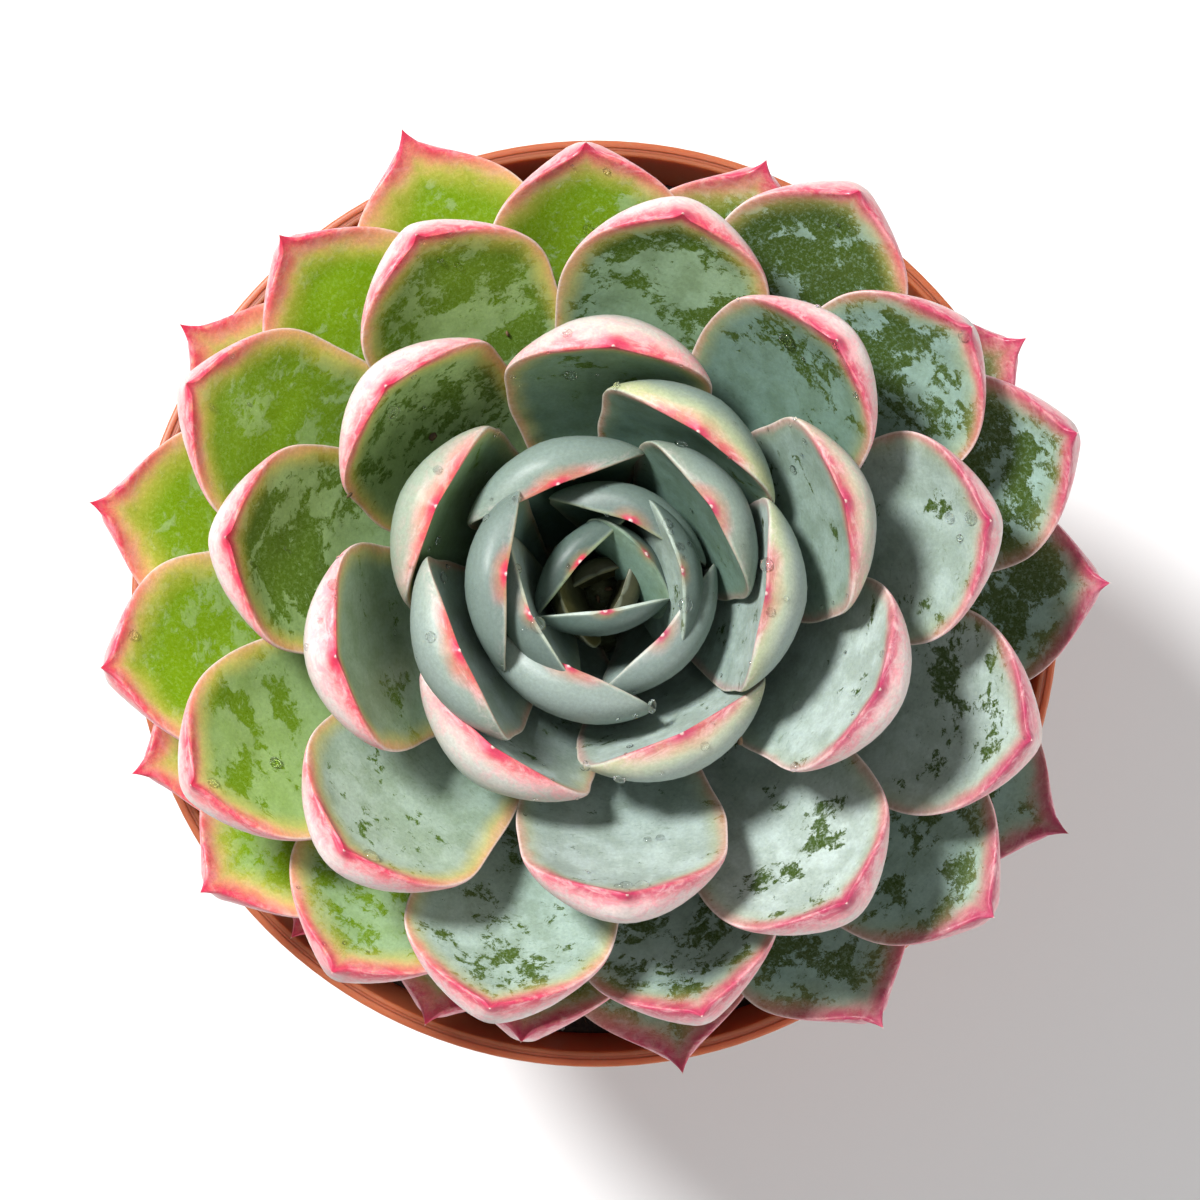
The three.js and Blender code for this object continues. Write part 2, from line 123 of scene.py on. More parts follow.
# Rank, bearing of the tip and its distance from the axis.
LEAF_TIPS = [
    (3, 36, 7.4), (4, 273, 3.1), (5, 134, 3.8), (6, 9, 9.2), (7, 203, 9.3), (8, 67, 8),
    (9, 319, 9), (10, 176, 11.3), (11, 35, 14.8), (12, 247, 10.4), (13, 115, 12.6),
    (14, 355, 18.3), (15, 206, 18.4), (16, 58, 20), (17, 297, 19.6), (18, 156, 21.3),
    (19, 18, 28.7), (20, 236, 23), (21, 88, 27.1), (22, 338, 33.6), (23, 196, 32),
    (24, 46, 38.2), (25, 274, 36.1), (26, 138, 34.3), (27, 9, 45.4), (28, 226, 43.1),
    (29, 78, 44.1), (30, 307, 46.6), (31, 173, 44.7), (32, 35, 53.3), (33, 255, 51.2),
    (34, 118, 47.3), (35, 340, 53.6), (36, 206, 53.9), (37, 57, 56.2), (38, 283, 52.4),
    (39, 154, 55.4), (40, 18, 59.9), (41, 235, 56.2), (42, 92, 54.7), (43, 320, 61.6),
    (44, 189, 61.2), (46, 260, 55.9), (47, 132, 59.2), (48, 1, 62.8), (49, 217, 61.3),
    (50, 69, 58.1), (51, 303, 63.9), (52, 170, 64.1), (53, 31, 62.4), (54, 248, 57.8),
    (55, 113, 63.6), (56, 333, 65.8), (57, 201, 62.5), (59, 280, 60.9), (60, 147, 63.3),
    (62, 228, 58.1),
]
BUD_REACH = [1.6, 2.4, 5.2]  # leaves 0, 1 and 2, still joined to the crown
YOUNG_UP_TO = 23  # the last rank in the record's young_leaf slot
SUNNY_BEARING = 158  # the side where leaves are brightest, partly in their own colour and partly by painted light
FROSTED_LIT_BEARING = 285  # the side where the wax is palest, partly by thicker bloom and partly by painted light
WET_RANKS = (5, 44)  # the first and last leaf that may carry drops

# ------------------------------------------------------------------ measures of the pot

WALL = 1.5
WALL_BASE = 42.5
WALL_TOP = 56.8
COLLAR_HEIGHT = 11
LIP = 2
FLOOR = 2.2
DRAIN = {"count": 6, "radius": 4.2, "circle": 27}

# The underside from its middle out, as (radius, height, rounding): the gate's recess, then a
# groove between two flat rings.
UNDERSIDE = [
    (0, 0.3, 0), (2.2, 0.3, 0.1), (2.6, 0, 0.1), (33.0, 0, 0.15), (33.5, 0.4, 0.1),
    (36.5, 0.4, 0.1), (37.0, 0, 0.15), (WALL_BASE, 0, 0.8),
]
# A shallow groove round the lip, as (distance inside the rim, depth, rounding).
LIP_GROOVE = [(0.95, 0, 0.18), (1.05, 0.16, 0.08), (1.35, 0.16, 0.08), (1.45, 0, 0.12)]

SOIL_BELOW_RIM = 12  # round the stem
SOIL_BANK = 4.5  # the soil lies this much higher at the wall
SOIL_BANK_FROM = 0.6  # where it starts to rise, as a share of its radius
WELL = 8.2  # radius of the soil's hole for the stem, at the surface
STEM_FOOT = 4.6  # radius of the stem's lower end
STEM_IN_SOIL = 26
STEM_INSIDE = 0.5  # the stem's skin lies this far inside the leaves' roots
FIRST_GRAIN = (-4.9, -54.7)  # place of the pale grain that shows between two leaves

# Where the dried flakes lie between the leaves.
FLAKES = [
    (-11.2, 31.0), (16.6, -18.6), (-1.5, 1.6), (0.9, 0.2), (-0.4, -1.0), (2.6, 1.2),
    (-20.5, 17.5), (-30.0, 10.0),
]

# ------------------------------------------------------------------ the stage, in metres

FLOOR_REACH = 9
LAMPS_AIM = (0, 0, 0.1)
KEY_PLACE, KEY_WIDTH = (-0.44, 0.36, 0.83), 0.22
FILL_PLACE, FILL_WIDTH = (0.70, -0.45, 0.60), 0.9
CAMERA_PLACE = (-0.0086, -0.0206, 0.492)
CAMERA_AIM = (0.00039, 0, 0.092)
CAMERA_LENS = 93.1  # millimetres, on a sensor 36 wide

# ------------------------------------------------------------------ colours that no setting changes

# Colours of the sunny and shaded sides are partly the leaves' own and partly painted light and
# shade.
HALF_SUNNY_SKIN = (0.098, 0.175, 0.013, 1)
THIN_SHADED_YOUNG_WAX = (0.14, 0.225, 0.17, 1)  # thin wax on the side that isn't frosted, darkened by painted shade
DARK_SHADED_UNDER = (0.06, 0.095, 0.078, 1)  # under the innermost leaves, partly their own darker colour and partly painted shade deep in the rosette
ROOT_SHADE_SKIN = (0.03, 0.07, 0.03, 1)  # painted shade towards a leaf's root, on skin here and on wax below
ROOT_SHADE_WAX = (0.09, 0.17, 0.15, 1)
# The bud's olive brown, darkened by painted shade in the crown's hollow.
SHADED_BUD_BROWN = (0.045, 0.045, 0.020, 1)
# Shaded copies of the margin colours: partly duller colour, partly painted shade; the sunny peach
# is partly painted light.
SHADED_CRIMSON = (0.40, 0.035, 0.10, 1)
SHADED_SALMON = (0.52, 0.14, 0.18, 1)
SHADED_PEACH, SUNNY_PEACH = (0.50, 0.17, 0.17, 1), (0.82, 0.33, 0.22, 1)
SHADED_GOLD = (0.36, 0.36, 0.14, 1)
YOUNG_CREAM = (0.46, 0.52, 0.42, 1)
SCUFFED_WAX = (0.86, 0.66, 0.64, 1)  # on a coloured margin
SPOT_HALO = (0.33, 0.20, 0.06, 1)
# The pale point of a leaf's tip, brightened by a painted glint.
TIP_POINT_GLINT = (0.85, 0.70, 0.62, 1)
STEM_DARK, STEM_PALE, STEM_WAX = (0.07, 0.06, 0.03, 1), (0.16, 0.19, 0.08, 1), (0.20, 0.24, 0.16, 1)
SCUFFED_PLASTIC, DUST = (0.62, 0.36, 0.26, 1), (0.30, 0.20, 0.14, 1)
CHALK_PITS, CHALK = (0.35, 0.32, 0.28, 1), (0.82, 0.80, 0.76, 1)


# ------------------------------------------------------------------ settings


def colour_setting(name, description, default):
    """A colour, in scene-linear red, green and blue."""
    return FloatVectorProperty(
        name=name, description=description, default=default, subtype="COLOR", min=0, max=1
    )


def length_setting(name, description, default, least, most):
    """A length, in metres."""
    return FloatProperty(
        name=name, description=description, default=default, min=least, max=most,
        subtype="DISTANCE", unit="LENGTH",
    )


def count_setting(name, description, default, least, most):
    """A number of pieces or faces."""
    return IntProperty(name=name, description=description, default=default, min=least, max=most)


def power_setting(name, description, default):
    """A lamp's power, in watts."""
    return FloatProperty(
        name=name, description=description, default=default, min=0, max=200, subtype="POWER",
        unit="POWER",
    )


class SucculentLeafSettings(bpy.types.PropertyGroup):
    """Sizes and colours of the leaves."""

    rows: count_setting("Rows", "Sections along a leaf", 72, 16, 200)
    columns: count_setting("Columns", "Points round a section", 48, 12, 200)
    unevenness: length_setting(
        "Unevenness", "Depth of the soft dents in a leaf's faces", 0.00016, 0, 0.001
    )
    # Sunny and shaded colours are partly the leaves' own and partly painted light and shade.
    sunny_skin: colour_setting(
        "Sunny skin", "Bare green skin on the sunny side", (0.19, 0.33, 0.004)
    )
    shaded_skin: colour_setting(
        "Shaded skin", "Bare green skin on the shaded side", (0.048, 0.082, 0.014)
    )
    sunny_wax: colour_setting(
        "Sunny wax", "Thin wax bloom on the sunny side", (0.33, 0.47, 0.17)
    )
    shaded_wax: colour_setting("Shaded wax", "Wax bloom on the shaded side", (0.26, 0.38, 0.325))
    # Lit young wax: the thick bloom of young leaves, brightened by painted light on the frosted
    # side.
    lit_young_wax: colour_setting("Young wax", "Thick wax bloom on young leaves", (0.43, 0.51, 0.47))
    pale_under: colour_setting("Pale under face", "Wax on the under face", (0.205, 0.26, 0.235))
    crimson: colour_setting(
        "Crimson", "The line along a margin and the spot at a tip", (0.70, 0.028, 0.085)
    )
    salmon: colour_setting("Salmon", "The band under a young leaf's margin", (0.82, 0.165, 0.15))
    gold: colour_setting("Gold", "Where the red band passes into green", (0.74, 0.59, 0.11))
    lime: colour_setting("Lime", "Under a young leaf, beside its margin", (0.56, 0.58, 0.25))
    blush: colour_setting(
        "Blush", "Blotches under an old leaf, beside its margin", (0.80, 0.31, 0.35)
    )
    cream: colour_setting(
        "Cream", "Under an old leaf, where the margin passes into wax", (0.70, 0.60, 0.57)
    )


class SucculentPotSettings(bpy.types.PropertyGroup):
    """Sizes and colours of the pot."""

    rim_radius: length_setting(
        "Rim radius", "Outer radius of the rim", (POT_HIGH[0] - POT_LOW[0]) / 2, 0.02, 0.2
    )
    height: length_setting("Height", "Height of the pot", POT_HIGH[2], 0.02, 0.3)
    segments: count_setting("Segments", "Faces round the pot", 144, 24, 400)
    plastic: colour_setting("Plastic", "Colour of the moulded plastic", (0.37, 0.098, 0.038))


class SucculentSoilSettings(bpy.types.PropertyGroup):
    """Make-up of the soil."""

    crumbs: count_setting("Crumbs", "Loose crumbs of peat on the surface", 900, 1, 4000)
    fibres: count_setting("Fibres", "Fine root and peat fibres", 150, 1, 1000)
    grains: count_setting("Pale grains", "White mineral grains", 9, 1, 100)
    peat: colour_setting("Peat", "Colour of the damp peat", (0.022, 0.014, 0.009))
    fibre: colour_setting("Fibre", "Colour of the fibres", (0.19, 0.11, 0.055))


class SucculentDewSettings(bpy.types.PropertyGroup):
    """The drops of water on the leaves."""

    drops: count_setting("Drops", "Number of drops", 170, 0, 600)
    smallest: length_setting("Smallest", "Radius of the smallest drop", 0.00022, 0.0001, 0.002)
    largest: length_setting("Largest", "Radius of the largest drop", 0.0010, 0.0001, 0.003)


class SucculentStageSettings(bpy.types.PropertyGroup):
    """The floor and the lights round the plant."""

    floor: colour_setting("Floor", "Colour of the floor", (0.86, 0.86, 0.86))
    key_power: power_setting("Key light", "Power of the light above the upper left", 14.2)
    fill_power: power_setting("Fill light", "Power of the soft light opposite", 5.0)
    sky: FloatProperty(
        name="Sky", description="Strength of the even light from all round", default=0.30, min=0,
        max=5, subtype="FACTOR",
    )


# ------------------------------------------------------------------ meshes


def smooth(value, low, high):
    """Smoothstep 3t^2 - 2t^3 of a value from low to high."""
    t = np.clip((value - low) / (high - low), 0, 1)
    return t * t * (3 - 2 * t)


def lumps(x, y, size, seed):
    """Soft random relief from -1 to 1.

    Seeded random heights stand on a square lattice, size apart, and smoothstep curves join them.
    """
    count = 61
    heights = np.random.default_rng(seed).uniform(-1, 1, (count, count))
    u, v = x / size, y / size
    i, j = np.floor(u).astype(int), np.floor(v).astype(int)
    a, b = smooth(u - i, 0, 1), smooth(v - j, 0, 1)
    i, j = i % count, j % count
    beside, behind = (i + 1) % count, (j + 1) % count
    near = heights[i, j] * (1 - a) + heights[beside, j] * a
    far = heights[i, behind] * (1 - a) + heights[beside, behind] * a
    return near * (1 - b) + far * b


def closed_skins(name, grids, values=None):
    """An object whose mesh is one or more closed skins, smooth and facing out.

    grids holds points in mm as (skin, row, column, xyz). Columns run once round and join up. The
    first and last rows are drawn together to one point each, the poles. values are further
    attributes on the same grid, three numbers to a point.
    """
    skins, rows, columns, _ = grids.shape
    each = (rows - 2) * columns + 2

    def at_vertices(grid):
        rings = grid[:, 1:-1].reshape(skins, -1, 3)
        return np.concatenate([grid[:, 0, :1], rings, grid[:, -1, :1]], 1).reshape(-1, 3)

    ring = 1 + np.arange(rows - 2)[:, None] * columns
    here = ring + np.arange(columns)[None, :]
    beside = ring + (np.arange(columns)[None, :] + 1) % columns
    quads = np.stack([here[:-1], beside[:-1], beside[1:], here[1:]], -1).reshape(-1, 4)
    start = np.stack([beside[0], here[0], np.zeros(columns, int)], -1)
    end = np.stack([here[-1], beside[-1], np.full(columns, each - 1)], -1)
    points = at_vertices(grids) * MM
    triangles = np.concatenate([start, end, quads[:, [0, 1, 2]], quads[:, [0, 2, 3]]])
    a, b, c = (points[triangles[:, k]] for k in range(3))
    if np.sum(a * np.cross(b, c)) < 0:
        quads, start, end = quads[:, ::-1], start[:, ::-1], end[:, ::-1]

    shift = np.arange(skins)[:, None, None] * each
    fans = (np.concatenate([start, end])[None] + shift).reshape(-1)
    walls = (quads[None] + shift).reshape(-1)
    starts = np.concatenate([np.arange(0, len(fans), 3), len(fans) + np.arange(0, len(walls), 4)])
    mesh = bpy.data.meshes.new(name)
    mesh.vertices.add(len(points))
    mesh.loops.add(len(fans) + len(walls))
    mesh.polygons.add(len(starts))
    mesh.vertices.foreach_set("co", points.astype(np.float32).ravel())
    mesh.loops.foreach_set("vertex_index", np.concatenate([fans, walls]).astype(np.int32))
    mesh.polygons.foreach_set("loop_start", starts.astype(np.int32))
    mesh.polygons.foreach_set("use_smooth", np.ones(len(starts), bool))
    mesh.update(calc_edges=True)
    for label, grid in (values or {}).items():
        attribute = mesh.attributes.new(label, "FLOAT_VECTOR", "POINT")
        attribute.data.foreach_set("vector", at_vertices(grid).astype(np.float32).ravel())
    mesh.validate()
    piece = bpy.data.objects.new(name, mesh)
    bpy.context.collection.objects.link(piece)
    return piece


def turned(profile, segments):
    """A profile of (radius, height) points turned once round the z axis.

    The point at angle a is (r cos a, r sin a, z).
    """
    radius, height = np.array(profile, float).T
    angle = np.arange(segments) * 2 * np.pi / segments
    return np.stack(
        [
            radius[:, None] * np.cos(angle),
            radius[:, None] * np.sin(angle),
            np.repeat(height[:, None], segments, 1),
        ],
        -1,
    )[None]


def eased_profile(corners, steps=6):
    """A profile whose corners are rounded.

    corners are (radius, height, rounding). A corner with a rounding gives way to the parabola
    (1-t)^2 A + 2 t (1-t) C + t^2 B, which leaves the corner's two sides that far from it, with
    a point a quarter further out on each side to hold the flats flat.
    """
    hold = 1.25
    points = []
    places = [np.array(corner[:2], float) for corner in corners]
    for i, (place, corner) in enumerate(zip(places, corners)):
        if i in (0, len(corners) - 1) or not corner[2]:
            points.append(place)
            continue
        sides = []
        for other in (places[i - 1], places[i + 1]):
            span = np.linalg.norm(other - place)
            sides.append((other - place) / span)
        before, after = (place + side * corner[2] for side in sides)
        t = np.linspace(0, 1, steps + 1)[:, None]
        points.append(place + sides[0] * corner[2] * hold)
        points.extend((1 - t) ** 2 * before + 2 * t * (1 - t) * place + t**2 * after)
        points.append(place + sides[1] * corner[2] * hold)
    return points


def finish_piece(piece, slot, material, *nodes):
    """Gives a piece its material and slot, and lets it ride and stand for CAD nodes."""
    piece.data.materials.append(material)
    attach(piece, "root")
    if nodes:
        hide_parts(*nodes)
    return piece


# ------------------------------------------------------------------ the form of a leaf


def at_rank(measure, rank):
    """A measure of AGE at a rank, on straight lines between its ranks."""
    return float(np.interp(rank, AGE["rank"], AGE[measure]))


def by_bluntness(pair, rank):
    """A measure between its values for a pointed and a blunt leaf."""
    pointed, blunt = pair
    return pointed + (blunt - pointed) * at_rank("bluntness", rank)


def leaf_width(rank):
    """Width of a leaf: 25 (1 - exp(-(rank + 3) / 7))."""
    return FULL_WIDTH * (1 - math.exp(-(rank + WIDTH_START) / WIDTH_RANKS))


def outline(s, rank):
    """Half width as a share of the largest.

    Up to the widest place, 0.28 + 0.72 sin(pi/2 s/0.72)^1.3. Past it the blade is
    (1 - t^a)^c, where t runs 0 to 1 and a and c go with the bluntness. The fine point,
    0.09 m^1.4 with m measured back from the tip in its own lengths, joins it as
    (blade^2.5 + point^2.5)^0.4.
    """
    widest_at, join_power = OUTLINE["widest_at"], OUTLINE["join_power"]
    rise = np.sin(np.pi / 2 * np.clip(s / widest_at, 0, 1)) ** OUTLINE["rise_power"]
    rise = OUTLINE["at_root"] + (1 - OUTLINE["at_root"]) * rise
    fall_power, close_power, blade_end = (
        by_bluntness(OUTLINE[name], rank) for name in ("fall_power", "close_power", "blade_end")
    )
    t = np.clip((s - widest_at) / (blade_end - widest_at), 0, 1)
    blade = (1 - t**fall_power) ** close_power
    from_tip = np.clip((1 - s) / (1 - blade_end), 0, OUTLINE["point_root"])
    point = OUTLINE["point"] * from_tip ** OUTLINE["point_power"]
    joined = (blade**join_power + point**join_power) ** (1 / join_power)
    return np.where(s <= widest_at, rise, joined)


def fullness(s):
    """Thickness as a share of the largest.

    (0.5 + 0.5 sin(pi/2 s/0.9)^1.6), closed bluntly over the last 0.18 by (1 - t^3)^0.55.
    """
    rise = np.sin(np.pi / 2 * np.clip(s / FULLNESS["full_at"], 0, 1)) ** FULLNESS["rise_power"]
    t = np.clip((s - FULLNESS["closes_at"]) / (1 - FULLNESS["closes_at"]), 0, 1)
    close = (1 - t ** FULLNESS["fall_power"]) ** FULLNESS["close_power"]
    return (FULLNESS["at_root"] + (1 - FULLNESS["at_root"]) * rise) * close


def pitch_along(s, rank, tip_pitch):
    """Angle of the midrib above level: root + (tip - root) s^bend, in radians."""
    root = at_rank("root_pitch", rank)
    return np.radians(root + (tip_pitch - root) * s ** at_rank("bend", rank))


def midrib(s, rank, tip_pitch):
    """Distance out and up along the midrib for a length of 1: its pitch summed in 80 steps."""
    steps = MIDRIB_STEPS
    pitch = pitch_along((np.arange(steps) + 0.5) / steps, rank, tip_pitch)
    marks = np.arange(steps + 1) / steps
    out = np.concatenate([[0], np.cumsum(np.cos(pitch))]) / steps
    up = np.concatenate([[0], np.cumsum(np.sin(pitch))]) / steps
    return np.interp(s, marks, out), np.interp(s, marks, up)


def fit_leaf(rank, reach):
    """The length and tip pitch that bring a leaf's tip out to its reach, by halving."""
    out = reach - at_rank("root_out", rank) + ROOT_SINK
    usual = at_rank("tip_pitch", rank)
    stretch = out / (midrib(1, rank, usual)[0] * at_rank("length", rank))
    length = at_rank("length", rank) * np.clip(stretch, 1 - STRETCH, 1 + STRETCH)
    low, high = (usual + turn for turn in PITCH_RANGE)
    for _ in range(HALVINGS):
        middle = (low + high) / 2
        if midrib(1, rank, middle)[0] * length > out:
            low = middle
        else:
            high = middle
    return length, low


def margin_distance(points, u):
    """Distance in space from each point of a leaf to the margin on its own side."""
    finer = 4
    marks = np.linspace(0, len(points) - 1, finer * len(points))
    before = np.minimum(marks.astype(int), len(points) - 2)
    share = (marks - before)[:, None]
    distance = np.empty(u.shape)
    for side, column in ((1, 0), (-1, u.shape[1] // 2)):
        here = side * u[0] >= 0
        edge = points[:, column]
        line = edge[before] * (1 - share) + edge[before + 1] * share
        away = points[:, here, None] - line
        distance[:, here] = np.sqrt((away**2).sum(-1).min(-1))
    return distance


def towards(bearing, side):
    """How far a bearing faces a side, 0 to 1: (1 + cos(difference)) / 2."""
    return 0.5 + 0.5 * math.cos(math.radians(bearing - side))


def leaf_grid(rank, bearing, reach, rows, columns, unevenness):
    """One leaf as a closed skin of points, and the values that its colours follow.

    Along the leaf s = 1 - (1 - w)^1.5, closer together near the tip. Round a section the angle a
    gives the place across, u = cos a: the upper face for a < 180 degrees, the under face beyond.
    With h half the width, the upper face is at (u h, cup u^2 h); the under face lies below it
    along its normal by the smaller of thickness x fullness and 1.7 h, times (1 - u^2)^0.65. Both
    bend down by 0.45 u^12 at the margin, which rounds it. The section is rolled about the
    midrib, tilted by its pitch and turned to its bearing. A soft keel, 0.25 exp(-(u/0.35)^2),
    swells the under face near the tip, a crease of the same kind marks the upper one, ripples
    run along the margins and lumps dent both faces.
    """
    length, tip_pitch = fit_leaf(rank, reach)
    s = 1 - (1 - np.linspace(0, 1, rows)) ** TOWARDS_TIP
    angle = np.arange(columns) * 2 * np.pi / columns
    s, angle = np.meshgrid(s, angle, indexing="ij")
    u = np.cos(angle)
    under = np.sin(angle) < -1e-9
    ripple = sum(
        share * np.sin(waves * s + by_rank * rank + by_side * u)
        for share, waves, by_rank, by_side in RIPPLES
    )
    half = 0.5 * leaf_width(rank) * outline(s, rank)
    along, across = s * length, u * half
    half = half * (1 + ripple * smooth(s, 0.3, 0.6) * smooth(1 - s, 0.02, 0.1))
    cup = at_rank("cup", rank) * np.clip(s / SECTION["cup_from"], 0, 1)
    slope = np.hypot(1, 2 * cup * u)
    full = np.minimum(at_rank("thickness", rank) * fullness(s), SECTION["deepest"] * half)
    body = np.clip(1 - u**2, 0, 1) ** SECTION["margin_power"]
    size = leaf_width(rank) / FULL_WIDTH
    near_tip = smooth(s, 0.6, 0.88) * smooth(1 - s, 0.04, 0.14)
    keel, crease = (
        height * size * np.exp(-((u / width) ** 2)) * near_tip for height, width in (KEEL, CREASE)
    )
    crease = crease * smooth(s, 0.8, 0.93)
    rounding = np.minimum(ROUNDING, 0.5 * half) * u**12 * smooth(s, 0.2, 0.4)
    open_face = smooth(body, 0.05, 0.5) * smooth(1 - s, 0.02, 0.12)
    wide, fine = (lumps(along, across, dent, rank + i * 70) for i, dent in enumerate(DENTS))
    dent = unevenness * (wide - 0.7 + 0.5 * fine)
    away = np.where(under, -(full * body + keel), -crease) - rounding
    away += np.where(under, -0.6 * dent, dent) * open_face
    side = u * half - 2 * cup * u / slope * away
    up = cup * u**2 * half + away / slope
    roll = math.radians(at_rank("roll", rank)) * np.clip(s / SECTION["roll_from"], 0, 1)
    side, up = side * np.cos(roll) - up * np.sin(roll), side * np.sin(roll) + up * np.cos(roll)
    out, rise = midrib(s, rank, tip_pitch)
    pitch = pitch_along(s, rank, tip_pitch)
    radius = at_rank("root_out", rank) - ROOT_SINK + length * out - np.sin(pitch) * up
    height = CROWN - RANK_STEP * rank + length * rise + np.cos(pitch) * up
    turn = math.radians(bearing)
    points = np.stack(
        [
            radius * math.cos(turn) - side * math.sin(turn),
            radius * math.sin(turn) + side * math.cos(turn),
            height,
        ],
        -1,
    )
    root = points[:1].mean(1, keepdims=True).repeat(columns, 1)
    edge = margin_distance(points, u) * np.where(under, -1, 1)
    own_place = 31.7 * rank  # so that no two leaves have the same pattern
    blade = np.stack([along, across, own_place + away * 1.5], -1)
    margin = np.stack([edge, np.linalg.norm(points - points[-1:, :1], axis=-1), s], -1)
    # How far the leaf faces the sunny and the frosted side, whose colours carry painted light and
    # shade as well as the leaves' own.
    sun, frost_and_light = towards(bearing, SUNNY_BEARING), towards(bearing, FROSTED_LIT_BEARING)
    leaf = np.broadcast_to([rank / OLDEST, sun, frost_and_light], blade.shape)

    def with_root(grid):
        return np.concatenate([grid[:1], grid])[None]

    return np.concatenate([root, points])[None], {
        "blade": with_root(blade),
        "margin": with_root(margin),
        "leaf": with_root(leaf),
    }


# ------------------------------------------------------------------ wiring of materials


class Wiring:
    """Places shader nodes on a tree and joins them."""

    def __init__(self, tree):
        self.tree = tree

    def add(self, kind, inputs=None, **settings):
        """A node of a kind; each input takes a number, a colour or another node's socket."""
        node = self.tree.nodes.new(kind)
        for label, value in settings.items():
            setattr(node, label, value)
        for label, value in (inputs or {}).items():
            socket = node.inputs[label]
            if isinstance(value, bpy.types.NodeSocket):
                self.tree.links.new(value, socket)
            else:
                socket.default_value = value
        return node

    def math(self, operation, *values, clamp=False):
        """One operation of the Math node."""
        inputs = dict(enumerate(values))
        return self.add("ShaderNodeMath", inputs, operation=operation, use_clamp=clamp).outputs[0]

    def times(self, first, *others):
        """Values multiplied together."""
        for other in others:
            first = self.math("MULTIPLY", first, other)
        return first

    def plus(self, first, *others, clamp=False):
        """Values added up."""
        for other in others:
            first = self.math("ADD", first, other, clamp=clamp)
        return first

    def minus(self, first, second):
        """The second value taken from the first."""
        return self.math("SUBTRACT", first, second)

    def over(self, first, second):
        """The first value divided by the second."""
        return self.math("DIVIDE", first, second)

    def mix(self, share, first, second, blend="MIX"):
        """Two colours mixed by a share."""
        inputs = {0: share, 6: first, 7: second}
        node = self.add("ShaderNodeMix", inputs, data_type="RGBA", blend_type=blend)
        return node.outputs[2]

    def ease(self, value, low, high, start=0.0, end=1.0):
        """Smoothstep from start to end as the value goes from low to high."""
        inputs = {
            "Value": value, "From Min": low, "From Max": high, "To Min": start, "To Max": end,
        }
        node = self.add("ShaderNodeMapRange", inputs, interpolation_type="SMOOTHSTEP")
        return node.outputs[0]

    def noise(self, place, scale, detail=2.0, roughness=0.5, distortion=0.0):
        """The value of a noise, 0 to 1 and mostly near 0.5."""
        inputs = {
            "Vector": place, "Scale": scale, "Detail": detail, "Roughness": roughness,
            "Distortion": distortion,
        }
        return self.add("ShaderNodeTexNoise", inputs).outputs[0]

    def stretch(self, place, scale):
        """A place with each direction scaled."""
        return self.add("ShaderNodeMapping", {"Vector": place, "Scale": scale}).outputs[0]

    def vector(self, attribute):
        """The vector of a mesh attribute."""
        return self.add("ShaderNodeAttribute", attribute_name=attribute).outputs["Vector"]

    def parts(self, vector):
        """The three numbers of a vector."""
        return self.add("ShaderNodeSeparateXYZ", {0: vector}).outputs

    def in_mm(self):
        """Object coordinates in millimetres."""
        place = self.add("ShaderNodeTexCoord").outputs["Object"]
        return self.stretch(place, (1000, 1000, 1000))

    def group(self, tree, inputs):
        """The outputs of a node group placed with its own values."""
        return self.add("ShaderNodeGroup", inputs, node_tree=tree).outputs

    def grain(self, place, size):
        """A fine mottle, 0 to 1, of a size in mm."""
        return self.group(fine_grain(), {"Place": place, "Size": size})["Grain"]

    def bump(self, strength, distance, height):
        """A normal bent by a relief that is distance metres deep."""
        inputs = {"Strength": strength, "Distance": distance, "Height": height}
        return self.add("ShaderNodeBump", inputs).outputs[0]

    def join(self, inputs, **sockets):
        """Joins node outputs to inputs, whose names are written with underscores."""
        for label, value in sockets.items():
            self.tree.links.new(value, inputs[label.replace("_", " ")])

    def words(self):
        """What the materials use most, as plain functions."""
        return self.times, self.plus, self.minus, self.ease, self.mix


def shader_group(name, inputs, outputs):
    """A new node group, its wiring and its two ends.

    inputs and outputs map a name to a kind: Float, Vector or Color.
    """
    tree = bpy.data.node_groups.new(name, "ShaderNodeTree")
    for direction, sockets in (("INPUT", inputs), ("OUTPUT", outputs)):
        for label, kind in sockets.items():
            tree.interface.new_socket(
                name=label, in_out=direction, socket_type=f"NodeSocket{kind}"
            )
    wiring = Wiring(tree)
    given = wiring.add("NodeGroupInput").outputs
    return wiring, given, wiring.add("NodeGroupOutput").inputs


def once(build):
    """Keeps what a builder of a node group or material made, and gives it again."""
    kept = {}

    def get(*options):
        if options not in kept:
            kept[options] = build(*options)
        return kept[options]

    get.__doc__ = build.__doc__
    return get


@once
def fine_grain():
    """Group: a fine mottle at two sizes, one five times the other."""
    wiring, given, result = shader_group(
        "Fine grain", {"Place": "Vector", "Size": "Float"}, {"Grain": "Float"}
    )
    scale = wiring.over(1.0, given["Size"])
    fine = wiring.noise(given["Place"], scale, 3.0, 0.65)
    coarse = wiring.noise(given["Place"], wiring.times(scale, 0.2), 2.0, 0.5)
    both = wiring.plus(wiring.times(fine, 0.6), wiring.times(coarse, 0.4))
    wiring.join(result, Grain=both)
    return wiring.tree


